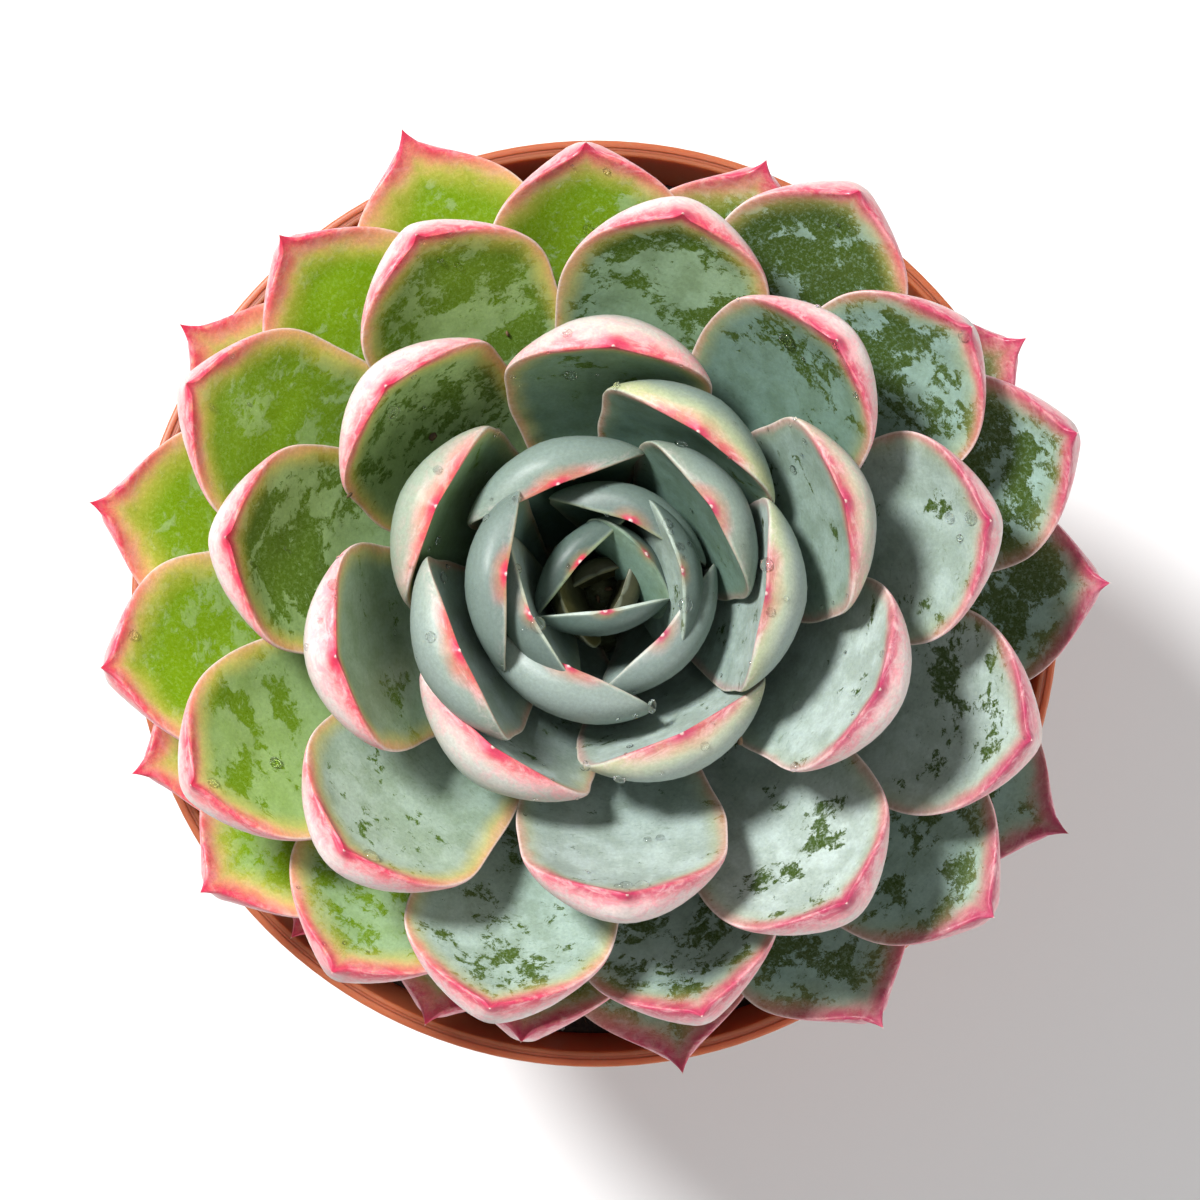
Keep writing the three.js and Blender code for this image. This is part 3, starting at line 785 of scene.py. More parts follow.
@once
def waxy_bloom():
    """Group: where wax still covers the skin, with ragged edges, thin clouds and small chips.

    Cover is the share that stays covered, Soft how gently its edges fade. Bare skin keeps
    specks of wax.
    """
    wiring, given, result = shader_group(
        "Waxy bloom",
        {"Place": "Vector", "Cover": "Float", "Soft": "Float"},
        {"Wax": "Float", "Mottle": "Float"},
    )
    times, plus, minus, ease, _ = wiring.words()
    wide = wiring.stretch(given["Place"], (1.0, 0.75, 1.0))
    blotch = wiring.noise(wide, 0.19, 2.0, 0.5, 0.6)
    ragged = wiring.noise(wide, 0.85, 7.0, 0.78, 0.4)
    field = plus(times(blotch, 0.50), times(ragged, 0.50))
    bar = ease(given["Cover"], 0.0, 1.0, 0.61, 0.38)
    low = minus(bar, times(given["Soft"], 0.03))
    high = plus(bar, plus(times(given["Soft"], 0.04), 0.010))
    covered = ease(field, low, high)
    chips = wiring.noise(wiring.stretch(given["Place"], (1.6, 0.7, 1.0)), 1.0, 4.0, 0.7, 0.6)
    cloud = ease(wiring.noise(given["Place"], 0.3, 3.0, 0.6), 0.35, 0.65, 0.72, 1.0)
    mottle = wiring.noise(given["Place"], 2.2, 5.0, 0.75)
    specks = times(ease(mottle, 0.50, 0.62), 0.30)
    kept = times(covered, cloud, ease(chips, 0.33, 0.41, 0.72, 1.0))
    wiring.join(result, Wax=wiring.math("MAXIMUM", kept, specks), Mottle=mottle)
    return wiring.tree


@once
def leaf_colours():
    """Group: colours of a leaf by distance from its margin and its tip, in millimetres.

    Edge is millimetres from the margin, negative under the leaf; Tip is millimetres from the
    tip, and Reach how far from it the reds run. From the margin the upper face goes from
    crimson through peach and gold to the skin. The under face goes from a thin red line to
    wax, through lime on a young leaf (Youth 1) and blotched cream on an old one. Wider sets
    how broad the bands are, Strength how strong the reds, Golden the gold and Limy the lime;
    Spot is the size of the spot at the tip. Drift and Blotch say where they wander, and Scuff
    where the wax on the margin is rubbed pale.
    """
    colours = [
        "Skin", "Wax colour", "Under", "Crimson", "Salmon", "Peach", "Gold", "Lime", "Blush",
        "Cream",
    ]
    numbers = [
        "Edge", "Tip", "Wax", "Mottle", "Drift", "Blotch", "Reach", "Wider", "Spot", "Strength",
        "Golden", "Limy", "Scuff", "Youth",
    ]
    wiring, given, result = shader_group(
        "Leaf colours",
        {**{label: "Float" for label in numbers}, **{label: "Color" for label in colours}},
        {"Colour": "Color"},
    )
    times, plus, minus, ease, mix = wiring.words()
    tip, blotch, strength, youth = (
        given[label] for label in ("Tip", "Blotch", "Strength", "Youth")
    )
    aged = minus(1.0, youth)
    drift = times(minus(given["Drift"], 0.5), 2.6)
    fray = times(minus(blotch, 0.5), 1.3)
    depth = wiring.math("ABSOLUTE", given["Edge"])
    plain = wiring.over(depth, given["Wider"])
    scaled = plus(plain, times(plus(drift, fray), ease(plain, 0.0, 1.5)))
    close = ease(wiring.over(plus(tip, drift), given["Reach"]), 1.0, 0.1)

    def band(width, added):
        """A soft band beside the margin, in mm, broader where it is close to the tip."""
        return ease(wiring.over(scaled, plus(width, times(close, added))), 1.0, 0.0)

    # The upper face.
    patchy = times(strength, ease(blotch, 0.34, 0.58, 0.5, 1.0))
    top = mix(given["Wax"], given["Skin"], given["Wax colour"])
    top = mix(times(band(3.7, 1.2), given["Golden"]), top, given["Gold"])
    peach = times(band(1.6, 1.4), ease(close, 0.0, 0.7, 0.5, 0.85), strength)
    top = mix(peach, top, given["Peach"])
    line = times(band(0.6, 1.5), ease(close, 0.2, 1.0, 0.08, 1.0), patchy)
    top = mix(line, top, given["Crimson"])

    # The under face.
    lime = times(band(4.0, 2.0), ease(tip, 24.0, 8.0), given["Limy"])
    under = mix(lime, given["Under"], given["Lime"])
    under = mix(times(ease(scaled, 9.0, 4.0), times(aged, 0.9)), under, given["Cream"])
    blotched = times(ease(blotch, 0.42, 0.62), ease(plain, 7.0, 1.0, 0.0, 0.75))
    blotched = plus(times(ease(plain, 3.6, 0.3), 0.45), blotched, clamp=True)
    blotched = times(blotched, ease(tip, 30.0, 12.0, 0.3, 0.95), aged)
    under = mix(blotched, under, given["Blush"])
    pink = times(band(0.8, 2.3), ease(close, 0.1, 0.8, 0.0, 0.9), patchy)
    under = mix(pink, under, given["Salmon"])
    rim = times(band(0.4, 1.2), ease(close, 0.3, 1.0, 0.0, 0.85), patchy)
    under = mix(rim, under, given["Crimson"])

    # Both faces: a pale line on the margin, painted light shining through its thin edge; rubbed
    # wax;
    # then the spot, and the pale point at the tip with a painted glint.
    both = mix(ease(given["Edge"], -0.1, 0.1), under, top)
    # The pale line is painted light shining through the thin margin.
    pale_line = times(ease(depth, 0.36, 0.08), ease(close, 0.8, 0.1, 0.0, 0.6))
    pale_line = times(pale_line, ease(strength, 0.0, 1.0, 0.3, 1.0))
    both = mix(pale_line, both, given["Cream"])
    scuffed = times(ease(given["Scuff"], 0.44, 0.64), times(band(1.6, 1.8), strength))
    scuffed = times(scuffed, ease(given["Edge"], -0.5, 0.8, 0.42, 0.15))
    both = mix(scuffed, both, SCUFFED_WAX)
    flat = plus(plus(tip, times(depth, 1.1)), plus(drift, fray))
    flat = wiring.over(flat, given["Spot"])
    both = mix(times(ease(flat, 7.5, 2.0), times(youth, 0.42)), both, SPOT_HALO)
    both = mix(times(ease(flat, 3.6, 0.9), 0.9), both, given["Crimson"])
    # The pale point of the tip, with a painted glint.
    both = mix(times(ease(tip, 0.42, 0.15), 0.7), both, TIP_POINT_GLINT)
    pale = ease(given["Mottle"], 0.3, 0.72, 0.88, 1.10)
    shade = wiring.add("ShaderNodeCombineColor", {0: pale, 1: pale, 2: pale}).outputs[0]
    wiring.join(result, Colour=mix(1.0, both, shade, "MULTIPLY"))
    return wiring.tree


def new_material(name):
    """An empty material, its wiring and its Principled shader, already joined to the output."""
    material = bpy.data.materials.new(name)
    material.use_nodes = True
    return material, Wiring(material.node_tree), material.node_tree.nodes["Principled BSDF"]


def opaque(values, share=1):
    """A colour made darker or lighter by a share, with full opacity."""
    return (*(min(value * share, 1) for value in values), 1)


def set_plain(shader, **values):
    """Sets the shader's inputs that are the same all over, named with underscores."""
    for label, value in values.items():
        shader.inputs[label.replace("_", " ")].default_value = value


@once
def leaf_finish(young):
    """Material of the leaves: skin, rubbed wax, coloured margins and a fine uneven surface.

    The attribute leaf holds the leaf's age as a share of the oldest rank, and how far it faces
    the sunny and the frosted side; margin holds millimetres from the margin and the tip, and the
    place along the leaf. Wax covers young leaves most, and under faces and roots more than the
    middle of a blade.
    """
    given = bpy.context.scene.succulent_leaves
    material, wiring, shader = new_material("Young leaf" if young else "Old leaf")
    times, plus, minus, ease, mix = wiring.words()
    blade = wiring.vector("blade")
    edge, tip, along = wiring.parts(wiring.vector("margin"))
    age, sun, frost_and_light = wiring.parts(wiring.vector("leaf"))
    seed = wiring.math("FRACT", times(age, 38.3))
    frosted_and_lit = ease(frost_and_light, 0.25, 0.75)
    drift = wiring.noise(blade, 0.15, 2.0, 0.5)
    blotch = wiring.noise(blade, 0.55, 6.0, 0.72, 0.8)
    scuff = wiring.noise(wiring.stretch(blade, (0.9, 0.5, 1.0)), 0.65, 5.0, 0.68, 1.0)
    upper = ease(edge, -0.3, 0.3)
    youth = ease(age, 0.37, 0.25)
    fresh = ease(plus(age, minus(times(sun, 0.20), times(frosted_and_lit, 0.11))), 0.64, 0.38)
    bright = times(ease(sun, 0.35, 0.85), ease(age, 0.45, 0.70))

    # How much of the wax is left: less on old leaves, in a worn band inside the margin and away
    # from the frosted side, more under the leaf and towards its root.
    worn_band = times(ease(edge, 1.5, 4.0), ease(edge, 13.0, 8.0))
    cover = minus(ease(age, 0.60, 0.30, 0.60, 0.93), times(worn_band, 0.09))
    cover = minus(cover, times(minus(1.0, frosted_and_lit), ease(age, 0.2, 0.4, 0.0, 0.16)))
    cover = plus(cover, times(frosted_and_lit, ease(age, 0.72, 0.52, 0.0, 0.11)))
    cover = plus(cover, times(minus(1.0, upper), 0.30))
    cover = plus(cover, ease(along, 0.75, 0.45, 0.0, 0.25))
    bloom = wiring.group(
        waxy_bloom(), {"Place": blade, "Cover": cover, "Soft": ease(bright, 0.0, 1.0, 0.12, 0.5)}
    )
    thin = times(bloom["Wax"], ease(bright, 0.0, 1.0, 1.0, 0.72))

    # Skin, wax and under face by side and age, the sides partly painted light and shade; painted
    # shade darkens them towards the root, and the bud is brown darkened by painted shade.
    skin = mix(ease(sun, 0.3, 0.9), opaque(given.shaded_skin), HALF_SUNNY_SKIN)
    skin = mix(bright, skin, opaque(given.sunny_skin))
    wax = mix(ease(sun, 0.3, 0.9), opaque(given.shaded_wax), opaque(given.sunny_wax))
    # Young wax: thin and darkened by painted shade away from the frosted side, brightened by
    # painted light on it.
    wax = mix(fresh, wax, mix(frosted_and_lit, THIN_SHADED_YOUNG_WAX, opaque(given.lit_young_wax)))
    under = mix(ease(age, 0.40, 0.12, 0.45, 0.85), wax, opaque(given.pale_under))
    # Painted shade under the innermost leaves, deep in the rosette, on top of their own darker
    # colour.
    under = mix(ease(age, 0.21, 0.06, 0.0, 0.9), under, DARK_SHADED_UNDER)
    # Painted shade towards the root, where the leaves above cover it.
    root_shade = ease(along, 0.85, 0.4, 0.0, 0.5)
    skin = mix(root_shade, skin, ROOT_SHADE_SKIN)
    wax = mix(root_shade, wax, ROOT_SHADE_WAX)
    # The bud's own brown, darkened by painted shade in the crown's hollow.
    bud = ease(age, 0.045, 0.035)
    skin, wax, under = (mix(bud, colour, SHADED_BUD_BROWN) for colour in (skin, wax, under))

    near_tip = times(ease(tip, 34.0, 14.0, 0.5, 1.0), ease(sun, 0.1, 0.7, 0.4, 1.0))
    colours = wiring.group(
        leaf_colours(),
        {
            "Edge": edge, "Tip": plus(tip, times(bud, 9.0)), "Wax": thin,
            "Mottle": bloom["Mottle"], "Drift": drift, "Blotch": blotch, "Youth": youth,
            "Scuff": scuff,
            "Reach": ease(age, 0.08, 0.45, 3.0, 22.0), "Wider": ease(age, 0.45, 0.92, 0.8, 1.45),
            "Spot": ease(age, 0.05, 0.35, 0.4, 1.0), "Strength": ease(age, 0.09, 0.27),
            "Golden": times(ease(age, 0.22, 0.45, 0.1, 0.9), near_tip),
            "Limy": times(ease(age, 0.15, 0.27, 0.0, 0.75), ease(seed, 0.40, 0.55, 0.15, 1.0)),
            "Skin": skin, "Wax colour": wax, "Under": under,
            "Crimson": mix(sun, SHADED_CRIMSON, opaque(given.crimson)),
            "Salmon": mix(sun, SHADED_SALMON, opaque(given.salmon)),
            "Peach": mix(sun, SHADED_PEACH, SUNNY_PEACH),
            "Gold": mix(sun, SHADED_GOLD, opaque(given.gold)),
            "Lime": opaque(given.lime), "Blush": opaque(given.blush),
            "Cream": mix(youth, opaque(given.cream), YOUNG_CREAM),
        },
    )
    grain = wiring.grain(blade, 0.22)
    relief = plus(times(grain, 0.6), times(bloom["Wax"], 0.4))
    roughness = plus(ease(thin, 0.0, 1.0, 0.22, 0.42), times(grain, 0.12))
    wiring.join(
        shader.inputs, Base_Color=colours["Colour"], Roughness=roughness,
        Normal=wiring.bump(0.35, 0.00012, relief),
    )
    set_plain(
        shader, Subsurface_Weight=0.15, Subsurface_Radius=(1.0, 0.8, 0.35),
        Subsurface_Scale=0.0015, Specular_IOR_Level=0.45,
    )
    return material


@once
def stem_finish():
    """Material of the stem: dull green-brown skin with scars and a trace of wax."""
    material, wiring, shader = new_material("Stem skin")
    place = wiring.in_mm()
    bloom = wiring.group(waxy_bloom(), {"Place": place, "Cover": 0.35, "Soft": 0.5})
    grain = wiring.grain(place, 0.5)
    skin = wiring.mix(grain, STEM_DARK, STEM_PALE)
    wiring.join(
        shader.inputs, Base_Color=wiring.mix(bloom["Wax"], skin, STEM_WAX),
        Normal=wiring.bump(0.5, 0.0003, grain), Roughness=wiring.ease(grain, 0.2, 0.8, 0.6, 0.8),
    )
    return material


@once
def plastic_finish():
    """Material of the pot: moulded plastic with a satin mottle, faint scuffs and a little dust."""
    given = bpy.context.scene.succulent_pot
    material, wiring, shader = new_material("Moulded plastic")
    times, plus, _, ease, mix = wiring.words()
    place = wiring.in_mm()
    height = wiring.parts(place)[2]
    grain = wiring.grain(place, 0.35)
    cloud = wiring.noise(place, 0.045, 3.0, 0.5)
    flow = wiring.noise(wiring.stretch(place, (0.35, 0.35, 0.02)), 1.0, 3.0, 0.6)
    scuff = wiring.noise(wiring.stretch(place, (0.25, 0.25, 2.2)), 1.0, 4.0, 0.7, 0.5)
    scuff = ease(scuff, 0.62, 0.74)
    colour = mix(
        ease(cloud, 0.3, 0.7), opaque(given.plastic, 0.95), opaque(given.plastic, 1.04)
    )
    colour = mix(times(scuff, 0.12), colour, SCUFFED_PLASTIC)
    dusty = times(ease(height, 70.0, 91.0), ease(grain, 0.52, 0.70))
    colour = mix(times(dusty, 0.22), colour, DUST)
    roughness = plus(ease(cloud, 0.3, 0.7, 0.34, 0.44), times(scuff, 0.18))
    relief = plus(grain, times(flow, 0.5))
    wiring.join(
        shader.inputs, Base_Color=colour, Roughness=roughness,
        Normal=wiring.bump(0.18, 0.0001, relief),
    )
    set_plain(
        shader, Subsurface_Weight=0.8, Subsurface_Radius=(1.0, 0.6, 0.35), Subsurface_Scale=0.006
    )
    return material


@once
def peat_finish():
    """Material of the soil: near-black damp peat, mottled with brown and fine pale specks."""
    given = bpy.context.scene.succulent_soil
    material, wiring, shader = new_material("Damp peat")
    place = wiring.in_mm()
    grain = wiring.grain(place, 0.6)
    specks = wiring.noise(place, 1.7, 2.0, 0.6)
    colour = wiring.mix(
        wiring.ease(grain, 0.35, 0.65), opaque(given.peat, 0.45), opaque(given.peat, 2.2)
    )
    colour = wiring.mix(wiring.ease(specks, 0.66, 0.72, 0.0, 0.5), colour, opaque(given.fibre))
    wiring.join(
        shader.inputs, Base_Color=colour, Normal=wiring.bump(0.9, 0.0006, grain),
        Roughness=wiring.ease(grain, 0.3, 0.7, 0.72, 0.95),
    )
    return material


@once
def fibre_finish():
    """Material of the fibres and the dried flakes: light and dark brown along their length."""
    given = bpy.context.scene.succulent_soil
    material, wiring, shader = new_material("Dry fibre")
    grain = wiring.grain(wiring.in_mm(), 1.2)
    colour = wiring.mix(
        wiring.ease(grain, 0.35, 0.65), opaque(given.fibre, 0.35), opaque(given.fibre)
    )
    wiring.join(
        shader.inputs, Base_Color=colour, Roughness=wiring.ease(grain, 0.3, 0.7, 0.6, 0.9)
    )
    return material


@once
def mineral_finish():
    """Material of the pale grains: chalky white with grey pits."""
    material, wiring, shader = new_material("Chalky mineral")
    grain = wiring.grain(wiring.in_mm(), 0.3)
    wiring.join(
        shader.inputs, Normal=wiring.bump(0.7, 0.0003, grain),
        Base_Color=wiring.mix(wiring.ease(grain, 0.35, 0.6), CHALK_PITS, CHALK),
        Roughness=wiring.ease(grain, 0.3, 0.7, 0.75, 0.95),
    )
    return material


@once
def water_finish():
    """Material of the dew: clear water."""
    material, _, shader = new_material("Clear water")
    set_plain(
        shader, Base_Color=(1, 1, 1, 1), Metallic=0, Roughness=0.02, IOR=1.33,
        Transmission_Weight=1, Alpha=0.7,
    )
    return material


# ------------------------------------------------------------------ small loose pieces


def ball_grid(rows, columns):
    """A ball of radius 1: (sin b cos a, sin b sin a, cos b), b from pole to pole."""
    b = np.linspace(0, np.pi, rows)[:, None]
    a = np.arange(columns)[None, :] * 2 * np.pi / columns
    return np.stack([np.sin(b) * np.cos(a), np.sin(b) * np.sin(a), np.cos(b) + 0 * a], -1)


def random_turns(count, rng):
    """Random rotation matrices, from random unit quaternions."""
    q = rng.normal(size=(count, 4))
    w, x, y, z = (q / np.linalg.norm(q, axis=1, keepdims=True)).T
    return np.array(
        [
            [1 - 2 * (y * y + z * z), 2 * (x * y - z * w), 2 * (x * z + y * w)],
            [2 * (x * y + z * w), 1 - 2 * (x * x + z * z), 2 * (y * z - x * w)],
            [2 * (x * z - y * w), 2 * (y * z + x * w), 1 - 2 * (x * x + y * y)],
        ]
    ).transpose(2, 0, 1)


def crumb_grids(places, sizes, flatness, rng, rows=5, columns=7):
    """Rough lumps at the given places: a ball with each ring point pushed in or out at random,
    flattened, turned at random and scaled."""
    count = len(places)
    ball = ball_grid(rows, columns)
    rough = rng.uniform(0.68, 1.2, (count, rows, columns, 1))
    rough[:, 0] = rough[:, :1, :1].mean(2)
    rough[:, -1] = rough[:, -1:, :1].mean(2)
    shape = ball[None] * rough * np.stack(
        [np.ones(count), rng.uniform(0.6, 1, count), flatness], -1
    )[:, None, None, :]
    shape = np.einsum("kij,krcj->krci", random_turns(count, rng), shape)
    return shape * sizes[:, None, None, None] + places[:, None, None, :]


# ------------------------------------------------------------------ the form of the pot and soil


def inner_radius(z):
    """Inner radius of the pot at a height: a straight taper from the floor to the lip."""
    given = bpy.context.scene.succulent_pot
    share = (z - FLOOR) / (given.height / MM - FLOOR)
    foot = WALL_BASE - WALL
    return foot + (given.rim_radius / MM - LIP - foot) * share


def soil_radius():
    """Radius of the soil where it meets the wall."""
    return inner_radius(RIM - SOIL_BELOW_RIM + SOIL_BANK) - ROOM


def soil_level(radius):
    """Height of the soil without its relief: banked up towards the wall on a smoothstep."""
    bank = SOIL_BANK * smooth(radius / soil_radius(), SOIL_BANK_FROM, 1)
    return RIM - SOIL_BELOW_RIM + bank


def soil_height(x, y):
    """Height of the soil's surface: its level, with relief at four sizes."""
    relief = (
        0.55 * lumps(x, y, 9, 3) + 0.45 * lumps(x, y, 3.2, 5)
        + 0.30 * lumps(x, y, 1.3, 8) + 0.16 * lumps(x, y, 0.6, 13)
    )
    return soil_level(np.hypot(x, y)) + 0.9 * relief


def pot_corners(rim, top):
    """The pot's section as (radius, height, rounding), from the underside's middle up the
    outside, over the lip and down the inside to the floor's middle."""
    collar = top - COLLAR_HEIGHT
    groove = [(rim - inside, top - depth, easing) for inside, depth, easing in LIP_GROOVE]
    return [
        *UNDERSIDE, (WALL_TOP, collar, 0.5), (rim - 0.9, collar + 0.6, 0.4), (rim, top, 0.55),
        *groove, (rim - LIP, top, 0.3), (inner_radius(top - 3), top - 3, 0.3),
        (inner_radius(FLOOR), FLOOR, 1.0), (0, FLOOR, 0),
    ]


# ------------------------------------------------------------------ operators


class SUCCULENT_OT_leaves(bpy.types.Operator):
    """Make every leaf, each in the place of its CAD node, and the bud at the crown."""

    bl_idname = "succulent.leaves"
    bl_label = "Leaves"

    def execute(self, context):
        given = context.scene.succulent_leaves
        shape = (given.rows, given.columns, given.unevenness / MM)
        for rank, bearing, reach in LEAF_TIPS:
            young = rank <= YOUNG_UP_TO
            grids, values = leaf_grid(rank, bearing, reach, *shape)
            piece = closed_skins(f"fine_leaf_{rank:02d}", grids, values)
            slot = "young_leaf" if young else "old_leaf"
            finish_piece(piece, slot, leaf_finish(young), f"leaf_{rank:02d}")
        bud = [
            leaf_grid(rank, FIRST_BEARING - GOLDEN_ANGLE * rank, reach, *shape)
            for rank, reach in enumerate(BUD_REACH)
        ]
        values = {
            label: np.concatenate([part[1][label] for part in bud]) for label in bud[0][1]
        }
        piece = closed_skins("bud", np.concatenate([part[0] for part in bud]), values)
        finish_piece(piece, "young_leaf", leaf_finish(True), "stem")
        return {"FINISHED"}


class SUCCULENT_OT_stem(bpy.types.Operator):
    """Make the short thick stem, with the scars of fallen leaves."""

    bl_idname = "succulent.stem"
    bl_label = "Stem"

    def execute(self, context):
        # A turned profile: it widens on a smoothstep from its foot to the oldest root, then
        # follows the roots' distances from the axis up to the crown. Scars change its radius by
        # 0.16 sin(2.6 z + 1.5 sin a), and lumps roughen it.
        foot = RIM - SOIL_BELOW_RIM - STEM_IN_SOIL
        lowest, root = CROWN - RANK_STEP * OLDEST, foot + 1
        start = at_rank("root_out", OLDEST) - STEM_INSIDE
        neck = np.linspace(0, 1, 22)[1:-1]
        ranks = np.linspace(OLDEST, 0, 46)
        profile = [
            (0, foot), (STEM_FOOT * 0.8, foot), (STEM_FOOT, root),
            *zip(
                STEM_FOOT + (start - STEM_FOOT) * smooth(neck, 0, 1),
                root + (lowest - root) * neck,
            ),
            *((at_rank("root_out", r) - STEM_INSIDE, CROWN - RANK_STEP * r) for r in ranks),
            (0, CROWN + 0.6),
        ]
        columns = 56
        grid = turned(profile, columns)
        radius = np.hypot(grid[..., 0], grid[..., 1])
        turn = np.arctan2(grid[..., 1], grid[..., 0])
        rings = 0.16 * np.sin(grid[..., 2] * 2.6 + 1.5 * np.sin(turn))
        rough = 0.18 * lumps(turn * 6 + 40, grid[..., 2], 1.4, 21)
        relief = 1 + np.where(radius > 1, (rings + rough - 0.25) / np.maximum(radius, 1), 0)
        grid[..., :2] *= relief[..., None]
        finish_piece(closed_skins("fine_stem", grid), "stem", stem_finish(), "stem")
        return {"FINISHED"}


class SUCCULENT_OT_pot(bpy.types.Operator):
    """Make the moulded pot with its collar, lip, foot and drain holes."""

    bl_idname = "succulent.pot"
    bl_label = "Pot"

    def execute(self, context):
        given = context.scene.succulent_pot
        corners = pot_corners(given.rim_radius / MM, given.height / MM)
        pot = closed_skins("fine_pot", turned(eased_profile(corners), given.segments))
        below, above, radius, columns = -2, 5, DRAIN["radius"], 40
        drill_bit = turned([(0, below), (radius, below), (radius, above), (0, above)], columns)
        holes = np.concatenate(
            [
                drill_bit + DRAIN["circle"] * np.array([math.cos(turn), math.sin(turn), 0])
                for turn in np.arange(DRAIN["count"]) * 2 * math.pi / DRAIN["count"]
            ]
        )
        cutter = closed_skins("drain_holes", holes)
        drill = pot.modifiers.new("Drain holes", "BOOLEAN")
        drill.object = cutter
        drill.operation = "DIFFERENCE"
        drill.solver = "EXACT"
        drilled = pot.evaluated_get(context.evaluated_depsgraph_get())
        mesh = bpy.data.meshes.new_from_object(drilled)
        pot.modifiers.clear()
        plain, pot.data = pot.data, mesh
        bpy.data.meshes.remove(plain)
        bpy.data.objects.remove(cutter)
        mesh.set_sharp_from_angle(angle=math.radians(50))
        finish_piece(pot, "pot_plastic", plastic_finish(), "pot")
        return {"FINISHED"}


class SUCCULENT_OT_soil(bpy.types.Operator):
    """Make the soil, its crumbs, fibres and pale grains."""

    bl_idname = "succulent.soil"
    bl_label = "Soil"

    def execute(self, context):
        given = context.scene.succulent_soil
        rng = np.random.default_rng(29)
        # A turned profile: bottom, wall, the surface in rings and the well round the stem. The
        # rings take the soil's height, whose relief fades out at the wall.
        surface, bottom, edge = RIM - SOIL_BELOW_RIM, FLOOR + ROOM, soil_radius()
        foot, well_foot = inner_radius(bottom) - ROOM, surface - STEM_IN_SOIL
        wall = [
            (0, bottom), (foot - 0.3, bottom), (foot, bottom + 0.4),
            (edge - 0.4, surface + SOIL_BANK - 1.5),
        ]
        rows, columns = 90, 300
        rings = np.linspace(edge, WELL, rows)
        well = [
            (WELL - 1.2, surface - 2), (STEM_FOOT + 0.6, well_foot - 0.3), (0, well_foot - 0.4),
        ]
        grid = turned(wall + [(radius, surface) for radius in rings] + well, columns)
        top = slice(len(wall), len(wall) + rows)
        x, y = grid[0, top, :, 0], grid[0, top, :, 1]
        fade = smooth(edge - rings, -0.5, 1.5)[:, None]
        level = soil_level(rings)[:, None]
        grid[0, top, :, 2] = level + (soil_height(x, y) - level) * fade - 0.5 * (1 - fade)
        finish_piece(closed_skins("peat", grid), "soil", peat_finish(), "soil")

        def strewn(count, inner=10.0, outer=0.965):
            """Random places between an inner radius and a share of the soil's area."""
            radius = np.sqrt(rng.uniform((inner / edge) ** 2, outer, count)) * edge
            turn = rng.uniform(0, 2 * np.pi, count)
            return radius * np.cos(turn), radius * np.sin(turn)

        x, y = strewn(given.crumbs)
        size = 0.35 + 1.5 * rng.random(given.crumbs) ** 3
        keep = np.hypot(x, y) + size < edge
        x, y, size = x[keep], y[keep], size[keep]
        places = np.stack([x, y, soil_height(x, y) + 0.15 * size], -1)
        lumps_of_peat = crumb_grids(places, size, rng.uniform(0.5, 0.9, len(x)), rng)
        finish_piece(closed_skins("peat_crumbs", lumps_of_peat), "soil", peat_finish())

        x, y = strewn(given.grains, 40)
        x[0], y[0] = FIRST_GRAIN
        size = rng.uniform(0.5, 1.1, len(x))
        size[0] = 1.35  # the one that shows is the largest
        places = np.stack([x, y, soil_height(x, y) + 0.35 * size], -1)
        grains = crumb_grids(places, size, rng.uniform(0.55, 0.8, len(x)), rng, 7, 10)
        finish_piece(closed_skins("pale_grains", grains), "soil", mineral_finish())

        x, y = strewn(given.fibres)
        finish_piece(
            closed_skins("fibres", fibre_grids(x, y, edge, rng)), "soil", fibre_finish()
        )
        return {"FINISHED"}


def fibre_grids(x, y, edge, rng):
    """Fine bent fibres lying on the soil.

    Each runs a length L from its place, its heading h + b t turning steadily; it follows the
    soil's height, arched by 0.8 sin(pi t), and its radius is R sin(pi t)^0.4.
    """
    count, rows, columns = len(x), 9, 4
    t = np.linspace(0, 1, rows)
    length = rng.uniform(3, 11, count)
    heading = rng.uniform(0, 2 * np.pi, count)[:, None] + rng.uniform(-2.2, 2.2, count)[:, None] * t
    step = length[:, None] / (rows - 1)
    px = x[:, None] + np.cumsum(np.cos(heading) * step, 1)
    py = y[:, None] + np.cumsum(np.sin(heading) * step, 1)
    out = np.hypot(px, py)
    pull = np.minimum(1, (edge - 0.5) / out)
    px, py = px * pull, py * pull
    pz = soil_height(px, py) + 0.12 + 0.8 * np.sin(np.pi * t) * rng.random(count)[:, None]
    radius = rng.uniform(0.07, 0.17, count)[:, None] * np.sin(np.pi * t) ** 0.4
    angle = np.arange(columns) * 2 * np.pi / columns
    side = np.stack([-np.sin(heading), np.cos(heading), 0 * heading], -1)
    ring = side[:, :, None, :] * np.cos(angle)[:, None]
    ring = ring + np.array([0, 0, 1.0]) * np.sin(angle)[:, None]
    return np.stack([px, py, pz], -1)[:, :, None, :] + ring * radius[:, :, None, None]


